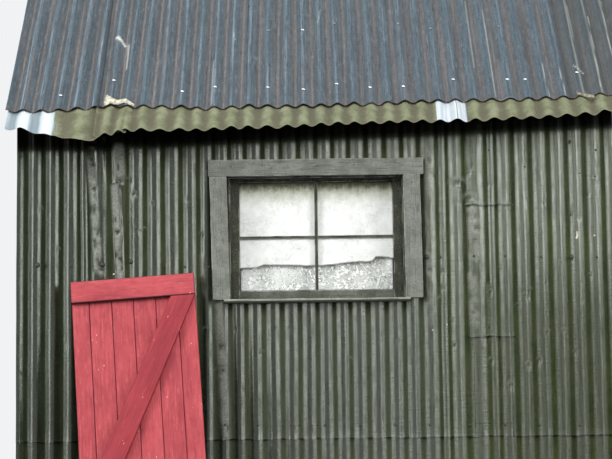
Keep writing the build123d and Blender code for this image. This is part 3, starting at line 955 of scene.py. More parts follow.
HOLE_DEPTH = 4  # dents at least this deep, in mm, have a hole
DENTS = (  # pixel, half width and half height in mm, depth in mm
    (458, 185, 11, 12, 7), (470, 200, 12, 10, 6), (459, 203, 6, 8, 4), (432, 175, 10, 18, 6),
    (471, 153, 6, 6, 3), (472, 167, 7, 7, 4), (489, 185, 6, 9, 3), (525, 152, 7, 7, 3),
    (525, 167, 6, 6, 4), (541, 161, 7, 9, 3), (541, 185, 6, 6, 3), (544, 203, 8, 7, 4),
    (570, 141, 8, 8, 4), (571, 215, 7, 10, 5), (579, 173, 6, 8, 4), (579, 219, 7, 9, 5),
    (594, 176, 8, 7, 4), (597, 184, 10, 9, 5), (588, 194, 6, 6, 3), (599, 202, 6, 7, 3),
    (94, 189, 14, 14, 6), (119, 181, 20, 9, 8), (127, 180, 10, 10, 6), (134, 194, 11, 12, 6),
    (153, 203, 7, 7, 4), (188, 200, 7, 8, 3), (140, 232, 10, 8, 5), (144, 229, 9, 9, 4),
    (201, 234, 9, 10, 4), (117, 232, 16, 12, 6), (440, 300, 8, 16, 4), (452, 320, 7, 9, 4),
    (530, 290, 9, 12, 4), (563, 330, 8, 10, 4), (487, 337, 10, 9, 5), (235, 330, 8, 12, 3),
    (262, 352, 9, 9, 4), (300, 372, 8, 10, 3), (350, 360, 9, 12, 4), (398, 342, 7, 10, 4),
    (430, 270, 10, 16, 5), (205, 330, 10, 12, 5), (216, 372, 8, 14, 4), (40, 210, 9, 14, 4),
    (58, 250, 8, 10, 4), (458, 184, 34, 26, 4.5), (470, 199, 28, 24, 4.5), (469, 205.5, 14, 9, 5),
    (510, 205.5, 12, 8, 5), (490.8, 292, 7, 12, 5), (547, 282, 7, 7, 5), (528, 297.7, 8, 8, 5),
    (547, 312, 7, 9, 5), (547.7, 332, 12, 12, 5), (473.5, 313, 8, 8, 5), (490, 327.5, 7, 7, 4),
    (582, 302, 6, 7, 4), (443.7, 288, 9, 8, 5), (528, 365.6, 12, 16, 6), (511, 386, 14, 20, 6),
    (492, 360, 10, 12, 5), (518, 305, 7, 9, 4), (540, 360, 9, 14, 5), (443, 270, 8, 14, 4),
    (500, 268, 6, 8, 4), (560, 262, 6, 8, 4), (590, 275, 7, 9, 4), (575, 352, 8, 9, 4),
    (455, 345, 9, 10, 4),
)

# Painted shadow lines, along two laps and beside the window's right side board
LAP_LINES = (  # a pixel on the line, from and to pixel down, half width in mm, strength
    (466.5, 320, 235, 440, 4.5, 0.95), (424.4, 225, 156, 296, 4.5, 0.95),
    (229.6, 350, 300, 437, 2.5, 0.80),
)

# Pixel across, from and to pixel down, half width and depth in mm, how far it is pressed, to what share
# of the wave
CRUMPLES = (
    (96, 146, 330, 18, 4.4, 0.85, 0.60), (119.5, 140, 180, 20, 0.6, 0.95, 0.72),
    (118.5, 186, 330, 16, 2.0, 0.85, 0.66), (111.5, 140, 330, 10, 0.3, 0.95, 0.03),
    (125.5, 188, 330, 8, 1.2, 0.8, 0.10), (133, 185, 245, 8, 1.6, 0.10, 0.66),
    (430, 140, 200, 14, 1.6, 0.30, 0.66), (430, 250, 330, 14, 2.0, 0.20, 0.66),
    (441, 140, 300, 9, 1.4, 0.10, 0.66), (474, 206, 262, 22, 2.8, 0.70, 0.66),
    (474, 275, 330, 20, 2.6, 0.45, 0.66), (469, 142, 205, 10, 2.2, 0.30, 0.66),
    (456, 178, 206, 18, 3.0, 0.30, 0.66), (525, 145, 215, 9, 1.2, 0.05, 0.66),
    (541, 150, 215, 8, 1.0, 0.05, 0.66), (597, 160, 205, 12, 1.8, 0.10, 0.66),
    (571, 200, 230, 9, 1.6, 0.05, 0.66), (490, 285, 345, 12, 2.0, 0.20, 0.66),
    (222, 300, 442, 22, 1.8, 0.50, 0.78), (203, 255, 300, 10, 2.2, 0.30, 0.66),
    (426, 150, 260, 7, 1.4, 0.20, 0.66),
)


def crumple_bands(u, v):
    """Nearness of each crushed ridge, its flatness, depth in metres and pressed level."""
    for x, y0, y1, half, deep, flat, level in CRUMPLES:
        lean = 0.06 * (y1 - y0) / 2
        (u_low, low), (u_high, high) = at_wall(x + lean, y1), at_wall(x - lean, y0)
        uc = u_low + (v - low) / (high - low) * (u_high - u_low)
        ends = np.clip((v - low) / 0.03, 0, 1) * np.clip((high - v) / 0.012 + 1, 0, 1)
        yield near_line(u, uc, half / 1000) * ends, flat, deep / 1000, level


def creased(u, v, seed):
    """Noise with sharp folds, from -1 to 1."""
    return 1 - 2.2 * np.abs(field(u, v, seed))


def crumple_lumps(u, v):
    """Lumps and folds of the crushed ridges."""
    return 0.9 * creased(u / 0.030, v / 0.050, 900) + 0.4 * creased(u / 0.015, v / 0.022, 901)


def crumple(u, v, h):
    """Ridges that were trodden or knocked flat, placed by the photograph."""
    du = np.zeros_like(u)
    lumps = crumple_lumps(u, v)
    for near, flat, deep, level in crumple_bands(u, v):
        h = h + near * flat * (level * FLUTE - h)
        h = h + near * deep * lumps
        du = du + 0.8 * near * deep * field(u / 0.03, v / 0.025, 902)
    return du, h


def wall_relief(seed, amount=1.0, spots=(), front=False):
    """Wandering ridges, crushed patches and small dents."""
    few = np.random.default_rng(seed)

    def relief(u, v, h, wave):
        du = 0.0016 * amount * field(u / 0.06, v / 0.35, seed)
        du = du + 0.0005 * amount * field(u / 0.03, v / 0.10, seed + 1)
        h = h * (1 + 0.05 * amount * field(u / 0.09, v / 0.30, seed + 2))
        for _ in range(int(16 * amount)):
            uc, vc = few.uniform(u.min(), u.max()), few.uniform(v.min(), v.max())
            r, s, d = few.uniform(0.004, 0.009), few.uniform(0.005, 0.014), few.uniform(0.0006, 0.0024)
            h = h - d * wave * near_spot(u, v, uc, vc, r, s)
        if front:
            more, h = crumple(u, v, h)
            du = du + more
        for uc, vc, r, s, d in spots:
            near = near_spot(u, v, uc, vc, r, s)
            h = h - d * near
            du = du + 0.25 * d * near
        return du, np.maximum(h, 0.0002)

    return relief


def front_spots(u0, u1):
    """The dents of one sheet of the front, in metres."""
    spots = []
    for x, y, r, s, d in DENTS:
        uc, vc = at_wall(x, y)
        if u0 - 0.03 < uc < u1 + 0.03:
            spots.append((uc, vc, r / 1000, s / 1000, 0.9 * d / 1000))
    return spots


SHADE_FOOT = ((40, 149), (108, 149), (116, 145), (150, 146), (300, 139), (432, 134.5), (588, 127))


def shade_line(u):
    """Where the photograph's shadow under the eaves ends; above it the wall iron gets a painted shadow."""
    us, zs = zip(*[at_wall(x, y) for x, y in SHADE_FOOT])
    return np.interp(u, us, zs)


def scuffed(u, v):
    """Scuffs on the crushed ridges, painted paler on their raised lumps as a painted highlight, and painted
    shade in their deepest creases.
    """
    mark = np.zeros_like(u)
    lumps = crumple_lumps(u, v)
    for near, flat, deep, level in crumple_bands(u, v):
        if level < 0.3:
            continue
        bold = min(deep / 0.004, 1.0)
        pale = np.clip(1.0 - 0.75 * bold + bold * lumps, 0, 1)
        mark = np.minimum(mark, -np.clip(near * flat * 1.3, 0, 1) * pale)
        crease_shade = near * flat * bold * np.clip(-0.6 - 2.0 * lumps, 0, 1)
        mark = np.where(crease_shade > 0.1, crease_shade, mark)
    return mark


def lapped(mark, u, v):
    """Painted shadow lines along the upright laps and beside the window's right side board."""
    for x, y, y0, y1, half, strength in LAP_LINES:
        line, high, low = at_wall(x, y)[0], at_wall(x, y0)[1], at_wall(x, y1)[1]
        wander = 0.0012 * field(v / 0.05, 0 * v, 871)
        near = strength * near_line(u, line + wander, half / 1000) * ((v > low) & (v < high))
        mark = np.where(near > 0.1, np.maximum(mark, near), mark)
    return mark


def pierced(mark, u, v):
    """Dark cores at the deeper dents, rust and the painted shade of their holes, with a painted highlight
    on the upper lip.
    """
    for x, y, r, s, d in DENTS:
        if d < HOLE_DEPTH:
            continue
        uc, vc = at_wall(x, y)
        far = np.hypot((u - uc) / (r / 1000), (v - vc) / (s / 1000))
        lit = np.clip(0.2 + (v - vc) / (s / 1000), 0, 1)
        mark = np.minimum(mark, -0.5 * lit * np.exp(-(((far - 1.1) / 0.35) ** 2)))
        near = np.minimum(1.0, 1.7 * near_spot(u, v, uc, vc, r / 2200, s / 2200))
        mark = np.where(near > 0.08, np.maximum(mark, near), mark)
    return mark


def wall_marks(u, v):
    """Rust, hole shade, lap shadows and crease shade above zero, scuffs and painted highlights below zero,
    on the front's iron.
    """
    return pierced(lapped(scuffed(u, v), u, v), u, v)


def ragged(seed, size):
    """An end that wanders by `size`."""
    return lambda u: size * rough_field(u / 0.045, 0.5 * np.ones_like(u), seed)


# The front's valleys, in pixels across at one row of pixels; laps squeeze some ridges
FRONT_VALLEYS = (
    8.5, 26.2, 43.4, 61, 79.5, 88.5, 109.5, 126.7, 145, 162.7, 180.7, 198.4, 213.5, 229.7, 245, 263, 281,
    298.5, 316, 332.8, 348.5, 366.2, 384.7, 402.2, 418.8, 438, 446.6, 464, 487, 495.5, 513, 530.7, 548.9,
    567, 585, 603.7, 621, 638.5,
)
VALLEY_ROW = 200
valley_us = np.array([at_wall(x, VALLEY_ROW)[0] for x in FRONT_VALLEYS])
valley_counts = 0.5 + np.arange(len(valley_us))


def front_crests(u):
    """Ridges counted along the front, smoothed so that no ridge has a corner."""
    return sum(np.interp(u + d, valley_us, valley_counts) for d in (-0.008, 0.0, 0.008)) / 3


# Upright laps and the two torn ends, each by one pixel on it
LAP_A, LAP_B, LAP_D, LAP_E, LAP_G = (118, 280), (229, 350), (468, 300), (512, 270), (609, 280)
TEAR_HIGH, TEAR_LOW = (484, 205), (484, 337)
lap_a, lap_b, lap_d, narrow_right, lap_g = [at_wall(*p)[0] for p in (LAP_A, LAP_B, LAP_D, LAP_E, LAP_G)]
tear_high, tear_low = [at_wall(*p)[1] for p in (TEAR_HIGH, TEAR_LOW)]

FRONT_SHEETS = (  # name, from, to, foot, head, lift, seed
    ("front_iron_a", -HALF_FRONT, lap_a + 0.03, SEAM, IRON_TOP, 0.0, 11),
    ("front_iron_b", lap_a - 0.01, lap_b, SEAM, IRON_TOP, 0.0016, 23),
    ("front_iron_c", lap_b - 0.03, OPENING_HALF + 0.012, SEAM, SILL_TOP - SILL_THICK, 0.0, 37),
    ("front_iron_over", -OPENING_HALF - 0.03, OPENING_HALF + 0.02, OPENING_HEAD, IRON_TOP, 0.0, 41),
    ("front_iron_d", OPENING_HALF - 0.001, lap_d + 0.02, SEAM, IRON_TOP, 0.0016, 53),
    ("front_iron_e_low", lap_d, narrow_right + 0.02, SEAM, tear_low + 0.05, 0.0, 67),
    ("front_iron_e_mid", lap_d - 0.001, narrow_right + 0.01, tear_low, tear_high + 0.05, 0.0030, 71),
    ("front_iron_e_high", lap_d - 0.002, narrow_right, tear_high, IRON_TOP, 0.0046, 83),
    ("front_iron_f", narrow_right - 0.01, lap_g + 0.01, SEAM, IRON_TOP, 0.0016, 97),
    ("front_iron_g", lap_g - 0.005, HALF_FRONT, SEAM, IRON_TOP, 0.0032, 101),
)
REPLACED = {
    "front_iron_a": ("front_sheets_left",),
    "front_iron_c": ("front_sheet_under_window",),
    "front_iron_over": ("front_sheet_over_window",),
    "front_iron_f": ("front_sheets_right",),
}
RAGGED_FEET = {SEAM: 0.004, tear_high: 0.007, tear_low: 0.004}
for name, u0, u1, v0, v1, lift, seed in FRONT_SHEETS:
    rag = RAGGED_FEET.get(v0, 0.0)
    sheet(name, FRONT, u0, u1, v0, v1, UPPER_OFF + lift, MAT_WALL, "wall_iron", REPLACED.get(name, ()),
          front_crests, low=ragged(seed, rag) if rag else None,
          relief=wall_relief(seed, 1.0, front_spots(u0, u1), True), per_pitch=16, step=0.007,
          marks=wall_marks, shadow_line=shade_line, gape=0.85 * rag)

for i in range(4):
    a, b = -HALF_FRONT + i * HALF_FRONT / 2, -HALF_FRONT + (i + 1) * HALF_FRONT / 2
    sheet(f"front_iron_low_{i}", FRONT, a, min(b + 0.03, HALF_FRONT), 0.0, SEAM + COURSE_LAP,
          0.0003 + 0.001 * (i % 2), MAT_WALL, "wall_iron", ("front_sheets_lower",) if i == 0 else (),
          front_crests, relief=wall_relief(130 + i, 0.8), per_pitch=10, step=0.03)

# Unseen walls: an upper course of sheets over a lower one

SIDE_SHEETS = 4
SIDE_TOP = 2.000  # height that the upper course's shaped end is counted from


def slope_line(u, over):
    """Top of the gable iron at u from the ridge line."""
    return WALL_TOP + (HALF_DEPTH - np.abs(u)) + 0.075 * math.sqrt(2) - over


def spans_round(gaps, start, end):
    """The stretches of a sheet, each with its foot: the ground, or the head of the gap below it."""
    spans = [(start, end, 0.0)]
    for g0, g1, head in gaps:
        pieces = []
        for s0, s1, foot in spans:
            if s1 <= g0 or s0 >= g1:
                pieces.append((s0, s1, foot))
                continue
            if s0 < g0:
                pieces.append((s0, g0, foot))
            if s1 > g1:
                pieces.append((g1, s1, foot))
            pieces.append((max(s0, g0), min(s1, g1), head))
        spans = pieces
    return spans


def plain_side(name, side, half, top, nodes, seed, gaps=()):
    """Two courses of sheets on a side; gaps are (from, to, head) openings."""
    fine = dict(per_pitch=8, step=0.035)
    for i in range(SIDE_SHEETS):
        a, b = -half + i * 2 * half / SIDE_SHEETS, -half + (i + 1) * 2 * half / SIDE_SHEETS
        for j, (s0, s1, foot) in enumerate(spans_round(gaps, a, min(b + 0.02, half))):
            if s1 - s0 < 0.03:
                continue
            off = 0.0004 + 0.0012 * (i % 2)
            if foot <= SEAM:
                sheet(f"{name}_{i}_{j}_0", side, s0, s1, 0.0, SEAM + COURSE_LAP, off, MAT_WALL,
                      "wall_iron", nodes, relief=wall_relief(seed + 7 * i, 0.6), **fine)
                nodes = ()
            off = 0.0004 + 0.0012 * ((i + 1) % 2) + 0.0012
            # The upper course gets a painted eaves shadow from 0.12 below its top.
            sheet(f"{name}_{i}_{j}_1", side, s0, s1, max(SEAM, foot), SIDE_TOP, off, MAT_WALL,
                  "wall_iron", nodes, high=lambda u: top(u) - SIDE_TOP,
                  relief=wall_relief(seed + 7 * i + 1, 0.6), shadow_line=lambda u: top(u) - 0.12, **fine)
            nodes = ()


plain_side("rear_iron", REAR, HALF_FRONT, lambda u: np.full_like(u, IRON_TOP), ("rear_sheets",), 200)
plain_side("left_iron", LEFT, 16 * PITCH, lambda u: slope_line(u, 0.001), ("left_sheets",), 300)
DOOR_HALF, DOOR_HEAD = 0.381, 1.880
plain_side("right_iron", RIGHT, 16 * PITCH, lambda u: slope_line(u, 0.001),
           ("right_sheets_front", "right_sheets_rear", "right_sheet_over_door"), 400,
           [(-DOOR_HALF, DOOR_HALF, DOOR_HEAD)])


# Roof iron

roof_crests = drifting(ROOF_DRIFT, 0.5)


def edge_line(points, base, over=0.012):
    """An end through pixels of the photograph, as a shift from `base` along the slope."""
    us, ss = zip(*[at_roof(x, y, over) for x, y in points])
    return lambda u: np.interp(u, us, ss) - base


MAIN_FOOT = 0.118
MAIN_EDGE = (
    (17, 112), (60, 111), (100, 107), (160, 107), (200, 109), (250, 107), (306, 107), (380, 104),
    (460, 101), (520, 100), (567, 98), (612, 94),
)
main_edge = edge_line(MAIN_EDGE, MAIN_FOOT)


def roof_relief(seed, lift_at=MAIN_FOOT):
    """Wandering, dented ridges that lift at their foot."""

    def relief(u, v, h, wave):
        du = 0.0016 * field(u / 0.06, v / 0.5, seed)
        h = h * (1 + 0.06 * field(u / 0.09, v / 0.4, seed + 2))
        h = h - np.clip(field(u / 0.12, v / 0.2, seed + 3) - 0.5, 0, 1) * 0.008 * wave
        near = np.exp(-np.clip(v - lift_at, 0, 1) / 0.06)
        h = h + near * (0.006 + 0.005 * field(u / 0.08, 0 * v, seed + 4))
        return du, np.maximum(h, 0.0002)

    return relief


def low_roof(seed):
    """The foot of a roof sheet: the photograph's edge, a little ragged."""
    wander = ragged(seed, 0.004)
    return lambda u: main_edge(u) + wander(u)


# From one pixel to another, half width in mm, strength: droppings, scratches and painted highlight lines
ROOF_MARKS = (
    (164, 108, 194, 108.5, 3.0, 0.8), (117, 37, 121, 40, 6, 1.0), (121, 40, 125, 44, 4, 0.9),
    (128.5, 43, 126.5, 67, 3.0, 0.6), (131, 27.5, 141, 28, 2.0, 0.25), (214, 60, 211, 104, 1.6, 0.35),
    (233.5, 32, 235, 40, 1.8, 0.35), (321, 8, 318, 22, 2, 0.25), (499, 99, 512, 99, 4, 0.25),
    (482, 8, 496, 96, 1.6, 0.40), (465, 0, 474, 66, 1.5, 0.30), (542, 64, 550, 98, 1.6, 0.40),
    (558, 66, 567, 98, 1.6, 0.40), (588, 14, 601, 86, 1.6, 0.40), (601, 0, 611, 52, 1.6, 0.35),
    (567, 4, 574, 36, 1.6, 0.45), (574, 66, 584, 71, 3, 0.5),
)
LAP_RIGHT = (566, 60)
# Across, width of the shade, darkness
LAPS_SHADED = ((-12 * PITCH - 0.018, 0.022, 0.75), (at_roof(*LAP_RIGHT)[0], 0.032, 0.95))


def roof_marks(u, v):
    """Pale streaks, droppings and painted highlight lines between two pixels of the photograph, and painted
    shade beside the laps.
    """
    mark = np.zeros_like(u)
    for x0, y0, x1, y1, r, strength in ROOF_MARKS:
        (ua, va), (ub, vb) = at_roof(x0, y0), at_roof(x1, y1)
        du, dv = ub - ua, vb - va
        k = np.clip(((u - ua) * du + (v - va) * dv) / (du * du + dv * dv + 1e-9), 0, 1)
        d = np.hypot(u - ua - k * du, (v - va - k * dv) * 0.7)
        mark = np.maximum(mark, strength * np.clip(1.6 - d / (r / 1000), 0, 1))
    for line, wide, dark in LAPS_SHADED:
        gap = line - u
        mark = np.where((gap > 0) & (gap < wide), -dark * (1 - gap / wide), mark)
    return mark


MAIN_TOP = SLOPE_LENGTH - 0.012
lap_l, lap_r = LAPS_SHADED[0][0], LAPS_SHADED[1][0]
MAIN_SHEETS = (  # name, from, to, lift, material
    ("roof_iron_a", -HALF_ROOF, lap_l + 0.02, 0.0016, MAT_ROOF),
    ("roof_iron_b", lap_l, -0.30, 0.0042, MAT_ROOF),
    ("roof_iron_c", -0.32, 0.36, 0.0030, MAT_ROOF),
    ("roof_iron_d", 0.34, lap_r, 0.0042, MAT_ROOF),
    ("roof_iron_e", lap_r - 0.02, HALF_ROOF + VERGE, 0.0022, MAT_ROOF_RIGHT),
)
for k, (name, u0, u1, lift, material) in enumerate(MAIN_SHEETS):
    sheet(name, ROOF_FRONT, u0, u1, MAIN_FOOT, MAIN_TOP, lift, material, "roof_iron",
          ("roof_sheets_front",) if k == 0 else (), roof_crests, low=low_roof(500 + k),
          relief=roof_relief(520 + 11 * k), per_pitch=14, step=0.012, marks=roof_marks, flank=True)
for k in range(4):
    a, b = -HALF_ROOF + k * HALF_ROOF / 2, -HALF_ROOF + (k + 1) * HALF_ROOF / 2
    sheet(f"roof_iron_rear_{k}", ROOF_REAR, a if k else a - VERGE, min(b + 0.03, HALF_ROOF), 0.0,
          MAIN_TOP, 0.0006 + 0.0014 * (k % 2), MAT_ROOF, "roof_iron",
          ("roof_sheets_rear",) if k == 0 else (), lambda u: even_crests(u) + 0.5,
          low=ragged(600 + k, 0.003), relief=roof_relief(620 + k, 0.0), per_pitch=8, step=0.04,
          flank=True)

# Old strip along the eaves, in separate pieces

STRIP_EDGE = (
    (97, 133), (110, 130.5), (144, 130), (200, 129.2), (300, 125.5), (330, 123.5), (417, 121),
    (440, 120.8), (470, 120.3), (500, 118.8), (545, 116.8), (595, 113.5), (612, 110),
)
STRIP_EDGE_A = ((5, 128), (21, 128), (30, 130), (40, 133), (50, 135), (60, 133))
STRIP_EDGE_B = ((50, 134), (57, 135), (65, 136), (75, 138), (85, 139), (93, 138), (101, 133.5))
strip_edge = edge_line(STRIP_EDGE, 0.0, 0.010)
edge_a = edge_line(STRIP_EDGE_A, 0.0, 0.014)
edge_b = edge_line(STRIP_EDGE_B, 0.0, 0.010)
BARE_FROM, BARE_TO, BARE_CRACK = (436.5, 110), (467, 110), (456.8, 110)


def bare_patch(u, v):
    """Bright bare metal between two pixels of the photograph, with a crack down it."""
    a, b, crack = [at_roof(*p)[0] for p in (BARE_FROM, BARE_TO, BARE_CRACK)]
    return 1.5 * ((u > a) & (u < b) & (np.abs(u - crack) > 0.003))


def strip_relief(seed, off=0.0):
    """Bent ridges that lie under the main sheets where those cover them."""
    def relief(u, v, h, wave):
        du = 0.003 * field(u / 0.07, v / 0.2, seed)
        h = h * (1 + 0.15 * field(u / 0.1, v / 0.2, seed + 2)) + 0.002 * field(u / 0.05, v / 0.05, seed + 3)
        main = wave_at(roof_crests(u)) * FLUTE * 0.9 - 0.0025 - off
        hidden = np.clip((v - MAIN_FOOT - main_edge(u) + 0.030) / 0.030, 0, 1)
        h = h * (1 - hidden) + np.minimum(h, main) * hidden
        return du * (1 - hidden), np.maximum(h, -0.8 * off)

    return relief


STRIP_JOINTS = ((57, 120), (97, 120), (139, 115))
s_left, s_mid, s_right = [at_roof(*p)[0] for p in STRIP_JOINTS]
STRIP_TOP = 0.360
STRIP_FLUTE = 0.014  # of the two flatter pieces on the left


def wandering(line, size, length, seed):
    """A line whose end wanders by `size`, one wave to about `length`."""
    return lambda u: line(u) + size * rough_field(u / length, 0 * u, seed)


def crests_every(width, start, phase):
    """Ridges of another width, counted from a place."""
    return lambda u: (u - start) / width + phase


def droop(size):
    """The free end sags by `size`."""
    return lambda u, v, t: np.stack([0 * u, 0 * u, -size * np.clip(1 - (v + 0.1) / 0.2, 0, 1) ** 2], -1)


def strip(name, u0, u1, off, sunk, crests, low, seed, foot=0.0, **more):
    """A piece of the old strip, off the slope and sunk under the main sheets."""
    sheet(name, ROOF_FRONT, u0, u1, foot, STRIP_TOP, off, MAT_STRIP, "strip_iron", crests=crests,
          low=low, relief=strip_relief(seed, sunk), per_pitch=12, step=0.012, **more)


strip("eaves_iron_a", -HALF_ROOF + 0.01, s_left, 0.0050, 0.0050, crests_every(0.100, -HALF_ROOF, 0.15),
      wandering(edge_a, 0.004, 0.045, 701), 702, nodes=("eaves_sheets_front",),
      marks=lambda u, v: np.ones_like(u), warp=droop(0.004), flute=STRIP_FLUTE)
strip("eaves_iron_b", s_left - 0.012, s_mid + 0.012, 0.0010, 0.0010, crests_every(0.125, s_left, 0.2),
      wandering(edge_b, 0.006, 0.05, 711), 712, warp=droop(0.006), flute=STRIP_FLUTE)
strip("eaves_iron_c", s_mid - 0.01, s_right, 0.0060, 0.0060, crests_every(0.080, s_mid, 0.35),
      wandering(lambda u: 0.20 * (u - s_mid - 0.1), 0.006, 0.04, 721), 722, -0.050, skew=0.050,
      warp=droop(0.010))
strip("eaves_iron_d", s_right - 0.10, HALF_ROOF + VERGE, 0.0003, 0.0, roof_crests,
      wandering(strip_edge, 0.004, 0.05, 731), 732, marks=bare_patch)


LIP_POINTS, LIP_ROWS = 24, 9


def lip_line(pixels, over):
    """Points of a lip's edge, evenly along a line of pixels."""
    xs = np.linspace(pixels[0][0], pixels[-1][0], LIP_POINTS)
    ys = np.interp(xs, [p[0] for p in pixels], [p[1] for p in pixels])
    u, v = np.array([at_roof(x, y, over) for x, y in zip(xs, ys)]).T
    return ROOF_FRONT.place(u, v, np.full(LIP_POINTS, over))


def curl(name, upper, lower, lift, material):
    """A turned-up lip between two lines of pixels, its middle lifted off the roof."""
    head, foot, out = lip_line(upper, 0.022), lip_line(lower, 0.024), ROOF_FRONT.out
    rows = []
    for f in np.linspace(0, 1, LIP_ROWS):
        arc = math.sin(math.pi * f)
        wobble = 0.003 * rough_field(np.arange(LIP_POINTS) / 3.0, f * 2.0, 941)[:, None]
        rows.append(head * (1 - f) + foot * f + out * (lift * arc + wobble * arc))
    verts = np.concatenate(rows + [row - out * IRON for row in rows])
    piece(name, verts, thin_faces(LIP_ROWS, LIP_POINTS), material)


LIP_LEFT_UPPER = ((103.5, 103.5), (106.5, 94), (112, 97.5), (118, 100.5), (126, 99), (134, 105.5))
LIP_LEFT_LOWER = ((104.5, 105.5), (110, 104), (118, 104.5), (124, 102.5), (128, 104), (134.5, 106.5))
LIP_RIGHT_UPPER = ((576, 91), (582, 93.5), (588, 94.5), (594, 96))
LIP_RIGHT_LOWER = ((576.5, 94), (582, 96), (588, 97.5), (594.5, 98))
curl("roof_lip_left", LIP_LEFT_UPPER, LIP_LEFT_LOWER, 0.010, MAT_LIP)
curl("roof_lip_right", LIP_RIGHT_UPPER, LIP_RIGHT_LOWER, 0.007, MAT_LIP_RIGHT)


# Window


def front_board(name, x0, x1, out0, out1, z0, z1, along, material, nodes=(), **more):
    """A board of the front, by its distances out from the middle of the plan."""
    return board(name, (x0, PLAN_Y - out1, z0), (x1, PLAN_Y - out0, z1), along, material, "grey_boards",
                 nodes, **more)


def pair(name, near, far, *box, nodes=(), cuts=(None, None), **more):
    """The same board left and right of the window's middle."""
    front_board(f"{name}_left", -far, -near, *box, nodes=nodes, cut=cuts[0], **more)
    front_board(f"{name}_right", near, far, *box, cut=cuts[1], **more)


LINING = 0.008
LINING_IN = OPENING_HALF - LINING
LINING_BACK = HALF_DEPTH - WALL
HEAD_BOARD_HALF, HEAD_BOARD_HIGH = 0.466, 0.072
SIDE_BOARD = 0.074
SILL_HALF, SILL_NOSE = 0.401, 0.018
inner = OPENING_HALF - 0.0005
outer = inner + SIDE_BOARD
front_board("head_board", -HEAD_BOARD_HALF, HEAD_BOARD_HALF, BOARD_BACK, BOARD_FRONT, OPENING_HEAD,
            OPENING_HEAD + HEAD_BOARD_HIGH, "x", MAT_BOARD, ("window_head_board",), wear=0.0012)


def leaning(amount):
    """Shears a side board about its middle height."""

    def shear(co):
        out = co.copy()
        out[:, 0] += amount * ((SILL_TOP + OPENING_HEAD) / 2 - co[:, 2])
        return out

    return shear


pair("side_board", inner, outer, BOARD_BACK, BOARD_FRONT, SILL_TOP + PLAY, OPENING_HEAD - PLAY, "z",
     MAT_BOARD, nodes=("window_side_boards",), cuts=(leaning(0.024), leaning(0.010)), wear=0.0012)
front_board("sill_nose", -SILL_HALF, SILL_HALF, CREST + PLAY, BOARD_FRONT + SILL_NOSE,
            SILL_TOP - SILL_THICK, SILL_TOP, "x", MAT_SILL, ("window_sill",), wear=0.0008)
front_board("sill_core", -OPENING_HALF, OPENING_HALF, LINING_BACK, CREST + 0.001, SILL_TOP - SILL_THICK,
            SILL_TOP - 0.0004, "x", MAT_REVEAL)
pair("jamb", LINING_IN, OPENING_HALF, LINING_BACK, CREST, SILL_TOP, OPENING_HEAD - LINING, "z", MAT_REVEAL,
     nodes=("window_jambs",))
front_board("head_lining", -OPENING_HALF, OPENING_HALF, LINING_BACK, CREST, OPENING_HEAD - LINING,
            OPENING_HEAD, "x", MAT_HEAD_SHADOW, ("window_head_lining",))
SASH_STILE, SASH_BOTTOM, SASH_TOP, SASH_THICK, SASH_BACK = 0.037, 0.040, 0.012, 0.035, 0.045
SASH_OUT = LINING_IN - PLAY
SASH_IN = SASH_OUT - SASH_STILE
SASH_FRONT = CREST - SASH_BACK
SASH_REAR = SASH_FRONT - SASH_THICK
SASH_FOOT, SASH_HEAD = SILL_TOP + PLAY, OPENING_HEAD - LINING - PLAY
GLASS_LOW, GLASS_HIGH = SASH_FOOT + SASH_BOTTOM, SASH_HEAD - SASH_TOP
pair("stile", SASH_IN, SASH_OUT, SASH_REAR, SASH_FRONT, SASH_FOOT, SASH_HEAD, "z", MAT_REVEAL,
     nodes=("sash_stiles",))
front_board("rail_low", -SASH_IN, SASH_IN, SASH_REAR, SASH_FRONT, SASH_FOOT, GLASS_LOW, "x", MAT_RAIL,
            ("sash_rails",))
front_board("rail_high", -SASH_IN, SASH_IN, SASH_REAR, SASH_FRONT, GLASS_HIGH, SASH_HEAD, "x",
            MAT_HEAD_SHADOW)
GLASS_FRONT = SASH_FRONT - 0.0175
BAR_HALF, LEVEL_HALF = 0.0070, 0.0050
front_board("bar_upright", -BAR_HALF, BAR_HALF, GLASS_FRONT, GLASS_FRONT + 0.009, GLASS_LOW, GLASS_HIGH,
            "z", MAT_REVEAL)
BAR_Z = 1.5255
pair("bar_level", BAR_HALF, SASH_IN, GLASS_FRONT, GLASS_FRONT + 0.007, BAR_Z - LEVEL_HALF,
     BAR_Z + LEVEL_HALF, "x", MAT_REVEAL)


def hanging(name, x0, x1, z0, z1, out, material, nodes, low=None, folds=None, step=0.006,
            thick=0.0006):
    """Thin stuff behind the glass: paper or net, with a shaped foot and folds."""
    nx, nz = round((x1 - x0) / step) + 1, round((z1 - z0) / step) + 1
    x = np.linspace(x0, x1, nx)[:, None] * np.ones((1, nz))
    t = np.linspace(0, 1, nz)[None, :] * np.ones((nx, 1))
    foot = z0 + (low(x) if low else 0)
    z = foot + (z1 - foot) * t
    d = folds(x, z) if folds else 0 * x
    front = np.stack([x, PLAN_Y - out - d, z], -1).reshape(-1, 3)
    back = front + np.array((0, thick, 0))
    path = np.stack([x, z1 - z, 0 * x], -1).reshape(-1, 3)
    return piece(name, np.concatenate([front, back]), thin_faces(nx, nz), material, nodes,
                 attributes={"path": np.concatenate([path, path])})


GLASS_REAR = GLASS_FRONT - 0.003
PAPER_FOOT = 1.391
NET_HEAD = 1.46
TEAR_COLUMN, TEAR_ROW = 300, 260
PAPER_TEAR = (
    (238, 267.5), (256, 267), (262, 264.5), (290, 265), (318, 266), (350, 263), (372, 262), (376, 257),
    (394, 259),
)


